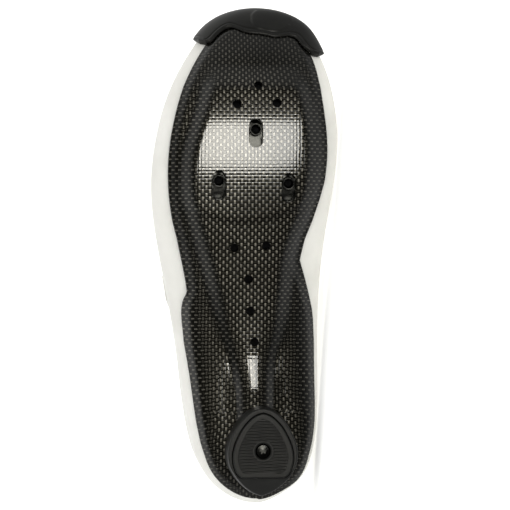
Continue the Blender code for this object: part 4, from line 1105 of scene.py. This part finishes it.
def charcoal_rubber():
    """Moulded thermoplastic rubber: near black, matte, with the faint sparked texture of its mould and dusty
    wear."""
    made, shader = finish_named("charcoal_rubber", "#171714", 0.46, Specular_IOR_Level=0.32)
    place = add(made, "ShaderNodeTexCoord").outputs["Object"]
    grit = add(made, "ShaderNodeTexNoise", {"Vector": place, "Scale": 2.6 * PER_MM, "Detail": 3.0})
    dust = {"Vector": place, "Scale": 0.07 * PER_MM, "Detail": 5.0, "Roughness": 0.65}
    cloud = add(made, "ShaderNodeTexNoise", dust)
    ramp = add(made, "ShaderNodeValToRGB", {0: cloud.outputs["Fac"]})
    ramp.color_ramp.elements[0].position = 0.35
    ramp.color_ramp.elements[0].color = linear("#10100e")
    ramp.color_ramp.elements[1].position = 0.75
    ramp.color_ramp.elements[1].color = linear("#1b1b18")
    plug(made, ramp.outputs[0], shader, "Base Color")
    relief = {"Height": grit.outputs["Fac"], "Strength": 0.22, "Distance": 0.0001}
    plug(made, add(made, "ShaderNodeBump", relief).outputs[0], shader, "Normal")
    return made


rubber = charcoal_rubber()


def build_bumper():
    """The cap on rays about the toe pole: its inner face clears plate and upper, and its outer face has round
    borders, a shallow groove inside the rim and the lens."""
    bearing = BUMPER_EDGE[0, 0] + (BUMPER_EDGE[-1, 0] - BUMPER_EDGE[0, 0]) * clustered(200)
    fine = np.linspace(0.30, 0.70, 4001)
    x, y = outline(fine)
    pole = TOE_POLE * LENGTH
    turn = np.interp(-bearing, -np.degrees(np.arctan2(x - spine(pole), y - pole)), fine)
    start = angle_at(turn, spline(BUMPER_EDGE[:, 0], BUMPER_EDGE[:, 1])(bearing))
    middle = np.clip(1 - np.abs(bearing - bearing[[0, -1]].mean()) / (np.ptp(bearing) / 2), 0, 1)
    rise = np.minimum(1, middle / 0.5)
    bowed = np.sqrt(rise * (2 - rise))
    top_angle = np.radians(BUMPER_END_ANGLE + (BUMPER_TOP_ANGLE - BUMPER_END_ANGLE) * bowed)
    edge = sole_edge(turn)
    share = clustered(120)[:, None]
    angle = start + (top_angle - start) * share
    thin = eased((edge - angle) / EDGE_TAPER)
    under = SEAT_GAP + SOLE_EDGE_THICKNESS + (FLANGE_THICKNESS - SOLE_EDGE_THICKNESS) * thin
    over_edge = eased((angle - edge) / math.radians(3))
    seat = (under + SEAT_GAP) * (1 - over_edge) + BUMPER_GAP * over_edge
    lip = 2 * SEAT_GAP + FLANGE_THICKNESS + BUMPER_LIP
    cover = lip + (SEAT_GAP + BUMPER_WALL - lip) * share
    inner = skin(turn[None, :], angle, seat)
    border = in_from_border(inner)
    near = np.clip(border / BUMPER_ROUND, 0, 1)
    from_lens = (inner[..., :2] - LENS_PLACE) / LENS_REACH
    away = np.hypot(from_lens[..., 0], from_lens[..., 1])
    under_side = angle < math.radians(-20)
    lens = LENS_HEIGHT * eased((1.0 - away) / 0.08) * under_side
    groove = RIM_GROOVE_DEPTH * np.exp(-(((border - RIM_GROOVE_INSET) / RIM_GROOVE_WIDTH) ** 2))
    outer = skin(turn[None, :], angle, seat + (cover - seat) * np.sqrt(1 - (1 - near) ** 2) + lens - groove)
    return from_grids("rubber_toe_bumper", [outer, inner], rubber)


bumper = build_bumper()
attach(bumper, "root")
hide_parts("toe_bumper")


# Heel: a rubber block bonded under the plate with a pocket, the ribbed tread pad that lies in it, and the
# cross-recess pan-head screw that holds the pad; all are rings about the screw's axis.

PAD_THICKNESS = 0.0047
BASE_FACE_HEIGHT = 0.0012
BASE_DRAFT = 0.0016
BASE_RIM = 0.0009
BASE_REAR_LINE = -0.0139
BASE_REAR_SLOPE = 1.05
POCKET_GAP = 0.0003
MOUTH_ROUND = 0.0003
PAD_ROUND = 0.0007
SCREW_HEAD_RADIUS = 0.0037
SCREW_SHANK_RADIUS = 0.0020
SCREW_RECESS = 0.0008
CROSS_TURNS = (35.0, 125.0)
CROSS_HALF_ANGLE = 0.24
CROSS_REACH = 0.0021
RIB_PITCH = 0.0016
RIB_DEPTH = 0.00035
RIB_SLANT = math.radians(3.0)
RIB_BORDER = 0.0027
RIB_CIRCLE = 0.0053

STEPS_AROUND = np.linspace(0, 2 * np.pi, 240, endpoint=False)


def heel_rings(radii, height):
    """Rings about the screw's axis: radii per ring and turn, height given or a function of the plan."""
    radii = np.array([r + 0 * STEPS_AROUND for r in radii])
    x = PAD_OFFSET + radii * np.sin(STEPS_AROUND)
    y = PAD_FROM_HEEL + radii * np.cos(STEPS_AROUND)
    z = height(x, y) if callable(height) else np.asarray(height)[:, None] + 0 * x
    return np.stack([x, y, z], -1)


def underside(x, y):
    """Height of the plate's lower face less a seat gap: bottom - (stack / cosine of the slope) - relief."""
    step = 0.0005
    across = (bottom_over(x + step, y) - bottom_over(x - step, y)) / (2 * step)
    along = (bottom_over(x, y + step) - bottom_over(x, y - step)) / (2 * step)
    slope = np.minimum(np.sqrt(1 + across**2 + along**2), 3.3)
    return bottom_over(x, y) - (2 * SEAT_GAP + FLANGE_THICKNESS) * slope - platform_relief(x, y)


def base_face(x, y):
    """The block's lower face: level round the pad, then sloping up behind the rear line."""
    behind = np.clip(PAD_FROM_HEEL + BASE_REAR_LINE - y, 0, 1)
    return np.minimum(BASE_FACE_HEIGHT + BASE_REAR_SLOPE * behind, underside(x, y) - BASE_RIM)


def build_heel_base():
    """Top on the plate, drafted wall, rounded lower edge, lower face, pocket with a softened mouth, bore."""
    plan = heel_outline(STEPS_AROUND, 1, BASE_REACH)
    pocket = heel_outline(STEPS_AROUND, 2, PAD_REACH) + POCKET_GAP
    bore = SCREW_SHANK_RADIUS + POCKET_GAP
    floor = PAD_THICKNESS + POCKET_GAP
    top_rings = heel_rings([plan * k for k in np.linspace(0, 1, 16)], underside)
    bend = np.radians(np.linspace(0, 90, 8))
    edge = heel_rings([plan - BASE_DRAFT / 2 * (2 - math.cos(a)) for a in bend], base_face)
    edge[..., 2] += BASE_RIM * (1 - np.sin(bend))[:, None]
    edge[..., 2] = np.minimum(edge[..., 2], underside(edge[..., 0], edge[..., 1]) - BASE_RIM / 3)
    inward = np.linspace(0, 1, 7)[1:-1]
    foot, lip = plan - BASE_DRAFT, pocket + MOUTH_ROUND
    face = heel_rings([foot + (lip - foot) * k for k in inward], base_face)
    mouth = heel_rings([lip, pocket + MOUTH_ROUND / 3, pocket], base_face)
    mouth[..., 2] += MOUTH_ROUND * np.array([0, 1 / 3, 1])[:, None]
    deep = heel_rings([pocket, bore, bore, 0.0], [floor, floor, 0.0094, 0.0094])
    whole = np.concatenate([top_rings, edge, face, mouth, deep])
    return from_grids("rubber_heel_base", [whole], rubber, around=True)


def build_heel_pad():
    """Tread pad: ribs run across it inside a smooth border and outside a smooth circle round the screw."""
    plan = heel_outline(STEPS_AROUND, 2, PAD_REACH)
    head = SCREW_HEAD_RADIUS + POCKET_GAP
    hole = SCREW_SHANK_RADIUS + POCKET_GAP
    seat = 0.0030
    bend = np.radians(np.linspace(0, 90, 7))
    back = [plan * 0.5, plan * 0.96, plan, plan]
    side = heel_rings(back, [PAD_THICKNESS, PAD_THICKNESS, PAD_THICKNESS - 0.0002, 0.0008])
    edge = heel_rings([plan - PAD_ROUND * (1 - math.cos(a)) for a in bend], PAD_ROUND * (1 - np.sin(bend)))
    inward = np.linspace(0, 1, 72)[1:-1]
    outer, inner = plan - PAD_ROUND, head + PAD_ROUND
    tread = heel_rings([outer + (inner - outer) * k for k in inward], lambda x, y: 0 * x)
    x, y = tread[..., 0] - PAD_OFFSET, tread[..., 1] - PAD_FROM_HEEL
    border = plan - np.hypot(x, y)
    mask = eased((border - RIB_BORDER) / 0.0004) * eased((np.hypot(x, y) - RIB_CIRCLE) / 0.0004)
    wave = (y * math.cos(RIB_SLANT) + x * math.sin(RIB_SLANT)) / RIB_PITCH
    tread[..., 2] += RIB_DEPTH * mask * (0.5 - 0.5 * np.tanh(2.2 * np.cos(2 * np.pi * wave)) / np.tanh(2.2))
    well = [inner, head + 0.0003, head, head, hole, hole]
    bore = heel_rings(well, [0.0, 0.0002, 0.0006, seat, seat, PAD_THICKNESS])
    whole = np.concatenate([heel_rings([hole], [PAD_THICKNESS]), side, edge, tread, bore])
    return from_grids("rubber_heel_pad", [whole], rubber, around=True)


def build_heel_screw():
    """A turned profile: point, threaded shank, the head's underside, rim and dome; then the cross is cut."""
    depth = np.linspace(0.0086, 0.0030, 50)
    profile = [(0.0, 0.0088), (0.0014, 0.0088)]
    profile += [(0.00185 + 0.00015 * math.cos(2 * math.pi * z / THREAD_PITCH), z) for z in depth]
    profile += [(SCREW_SHANK_RADIUS, 0.0027), (SCREW_HEAD_RADIUS - 0.00015, 0.0027)]
    profile += [(SCREW_HEAD_RADIUS, 0.00255), (SCREW_HEAD_RADIUS, 0.0019)]
    bend = np.radians(np.linspace(0, 90, 7))[1:]
    profile += [(0.0029 + 0.0008 * math.cos(a), 0.0012 + 0.0007 * (1 - math.sin(a))) for a in bend]
    profile += [(r, SCREW_RECESS + 0.0004 * (r / 0.0029) ** 2) for r in (0.0026, 0.0022, 0.0016, 0.0008, 0.0)]
    profile = np.array(profile)
    turn = np.linspace(0, 2 * np.pi, 72, endpoint=False)
    r, z = profile[:, :1], profile[:, 1:]
    rings = np.stack([PAD_OFFSET + r * np.cos(turn), PAD_FROM_HEEL + r * np.sin(turn), z + 0 * turn], -1)
    piece = from_grids("steel_heel_screw", [rings], steel, around=True)
    half = CROSS_HALF_ANGLE
    for spin in CROSS_TURNS:
        ring = np.radians(spin) + np.array([-half, half, math.pi - half, math.pi + half])
        size = CROSS_REACH * np.array([0.0, 1.0, 0.75, 0.0])[:, None]
        own = np.stack([
            PAD_OFFSET + size * np.cos(ring),
            PAD_FROM_HEEL + size * np.sin(ring),
            np.array([-0.0004, -0.0004, 0.0021, 0.0021])[:, None] + 0 * ring,
        ], -1)
        cut_away(piece, own)
    piece.data.set_sharp_from_angle(angle=math.radians(35))
    return piece


for build, node, slot in (
    (build_heel_base, "heel_base", "rubber"),
    (build_heel_pad, "heel_pad", "rubber"),
    (build_heel_screw, "heel_screw", "steel"),
):
    piece = build()
    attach(piece, "root")
    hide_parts(node)


# Plain studio: a pale floor that sweeps up behind the shoe, a bright room that is dark on the camera's side,
# a long soft light that the clear coat mirrors, and the camera square to the sole at the photograph's angle.

CAMERA_DISTANCE = 1.30
CAMERA_LEAN = math.radians(4.5)
OUTLINE_DEPTH = 0.036
AIM_ALONG = 0.1321
MM_PER_PIXEL = 0.000534
IMAGE_WIDTH = 510


def place_camera():
    """Looks up the shoe's Z axis, leaning to its outer side; the toe is up in the picture."""
    toward = np.array([-math.sin(CAMERA_LEAN), 0, math.cos(CAMERA_LEAN)])
    eye = in_scene(np.array([0.0005, AIM_ALONG, OUTLINE_DEPTH]) - CAMERA_DISTANCE * toward)
    toward = TURNED @ toward
    up = TURNED @ np.array([0, 1.0, 0])
    data = bpy.data.cameras.new("camera")
    data.sensor_width = 36.0
    data.lens = 36.0 * CAMERA_DISTANCE / (MM_PER_PIXEL * IMAGE_WIDTH)
    data.clip_start = 0.05
    camera = bpy.data.objects.new("camera", data)
    bpy.context.scene.collection.objects.link(camera)
    turn = Matrix((np.cross(toward, up), up, -toward)).transposed().to_4x4()
    camera.matrix_world = Matrix.Translation(eye) @ turn
    bpy.context.scene.camera = camera


place_camera()


def build_floor():
    """A wide sheet: level round the shoe, then a quarter circle up to a wall far behind it."""
    made, shader = finish_named("pale_floor", "#f6f6f4", 0.85, Specular_IOR_Level=0.1)
    shader.inputs["Emission Color"].default_value = (1.0, 1.0, 0.985, 1.0)
    shader.inputs["Emission Strength"].default_value = 0.44
    bend = np.linspace(0, np.pi / 2, 40)
    y = np.concatenate([[-5.0], 2.5 + 1.5 * np.sin(bend), [4.0]])
    z = np.concatenate([[0.0], 1.5 - 1.5 * np.cos(bend), [5.0]])
    x = np.linspace(-5.0, 5.0, 12)
    grid = np.stack([x[None, :] + 0 * y[:, None], y[:, None] + 0 * x, z[:, None] + 0 * x], -1)
    own = (grid - MOVED) @ TURNED
    floor = from_grids("floor", [own], made)
    floor.visible_glossy = False
    return floor


build_floor()


def soft_light(name, place, aim, size, radiance, seen_by, colour=(1.0, 1.0, 1.0)):
    """An area light by its place and aim in the shoe's frame; power = radiance x pi x area. It is seen only
    in reflections, or only as light falling on matte surfaces."""
    data = bpy.data.lights.new(name, "AREA")
    data.shape = "RECTANGLE"
    data.size, data.size_y = size
    data.energy = radiance * math.pi * size[0] * size[1]
    data.color = colour
    light = bpy.data.objects.new(name, data)
    place, aim = Vector(in_scene(place)), Vector(in_scene(aim))
    toward = (aim - place).normalized()
    right = toward.cross(Vector(TURNED @ np.array([0, 1.0, 0]))).normalized()
    up = right.cross(toward)
    light.matrix_world = Matrix.Translation(place) @ Matrix((right, up, -toward)).transposed().to_4x4()
    light.visible_camera = False
    light.visible_diffuse = seen_by == "matte"
    light.visible_glossy = seen_by == "reflections"
    bpy.context.scene.collection.objects.link(light)


BALL_SPOT = np.array([0.004, 0.192, 0.0])
SHOE_MIDDLE = np.array([0.0, 0.130, 0.030])
BAND_PLACE = BALL_SPOT + (-0.11, 0.120, -1.45)
WARM_PLACE = BALL_SPOT + (0.02, 0.125, -1.44)
BACKDROP_PLACE = SHOE_MIDDLE + (1.9, 0.0, 1.3)
soft_light("band_light", BAND_PLACE, BALL_SPOT, (0.62, 0.67), 10.9, "reflections", (1.0, 0.995, 0.95))
soft_light("warm_light", WARM_PLACE, BALL_SPOT, (0.34, 0.67), 4.0, "reflections", (1.0, 0.92, 0.76))
soft_light("front_fill_light", SHOE_MIDDLE + (1.2, 0.0, -2.2), SHOE_MIDDLE, (1.6, 1.6), 3.2, "matte")
soft_light("backdrop_light", BACKDROP_PLACE, SHOE_MIDDLE + (0.5, 0.0, 4.0), (3.0, 1.5), 1.5, "matte")


def bright_room():
    """The room's light by direction: bright above and behind, dimmer from below, dark at the camera."""
    world = bpy.data.worlds.new("bright_room")
    world.use_nodes = True
    bpy.context.scene.world = world
    room = world.node_tree.nodes["Background"]
    way = add(world, "ShaderNodeTexCoord").outputs["Generated"]

    def toward(direction, start, full, strength):
        direction = np.array(direction) / np.linalg.norm(direction)
        facing = add(world, "ShaderNodeVectorMath", {0: way, 1: tuple(direction)}, operation="DOT_PRODUCT")
        limits = {0: facing.outputs["Value"], 1: start, 2: full, 3: 0.0, 4: strength}
        return add(world, "ShaderNodeMapRange", limits, interpolation_type="SMOOTHSTEP").outputs[0]

    above = toward((0.0, 0.6, 0.8), 0.05, 0.70, 0.88)
    below = toward((0.0, 0.3, -0.9), 0.35, 0.95, 0.35)
    round_about = toward((0.0, 1.0, 0.0), -0.90, -0.30, 0.30)
    total = do(world, "ADD", do(world, "ADD", above, below), do(world, "ADD", round_about, 0.02))
    world.node_tree.links.new(total, room.inputs["Strength"])
    room.inputs["Color"].default_value = (1.0, 1.0, 0.985, 1.0)


bright_room()
bpy.context.scene.view_settings.view_transform = "Standard"
bpy.context.scene.view_settings.look = "None"
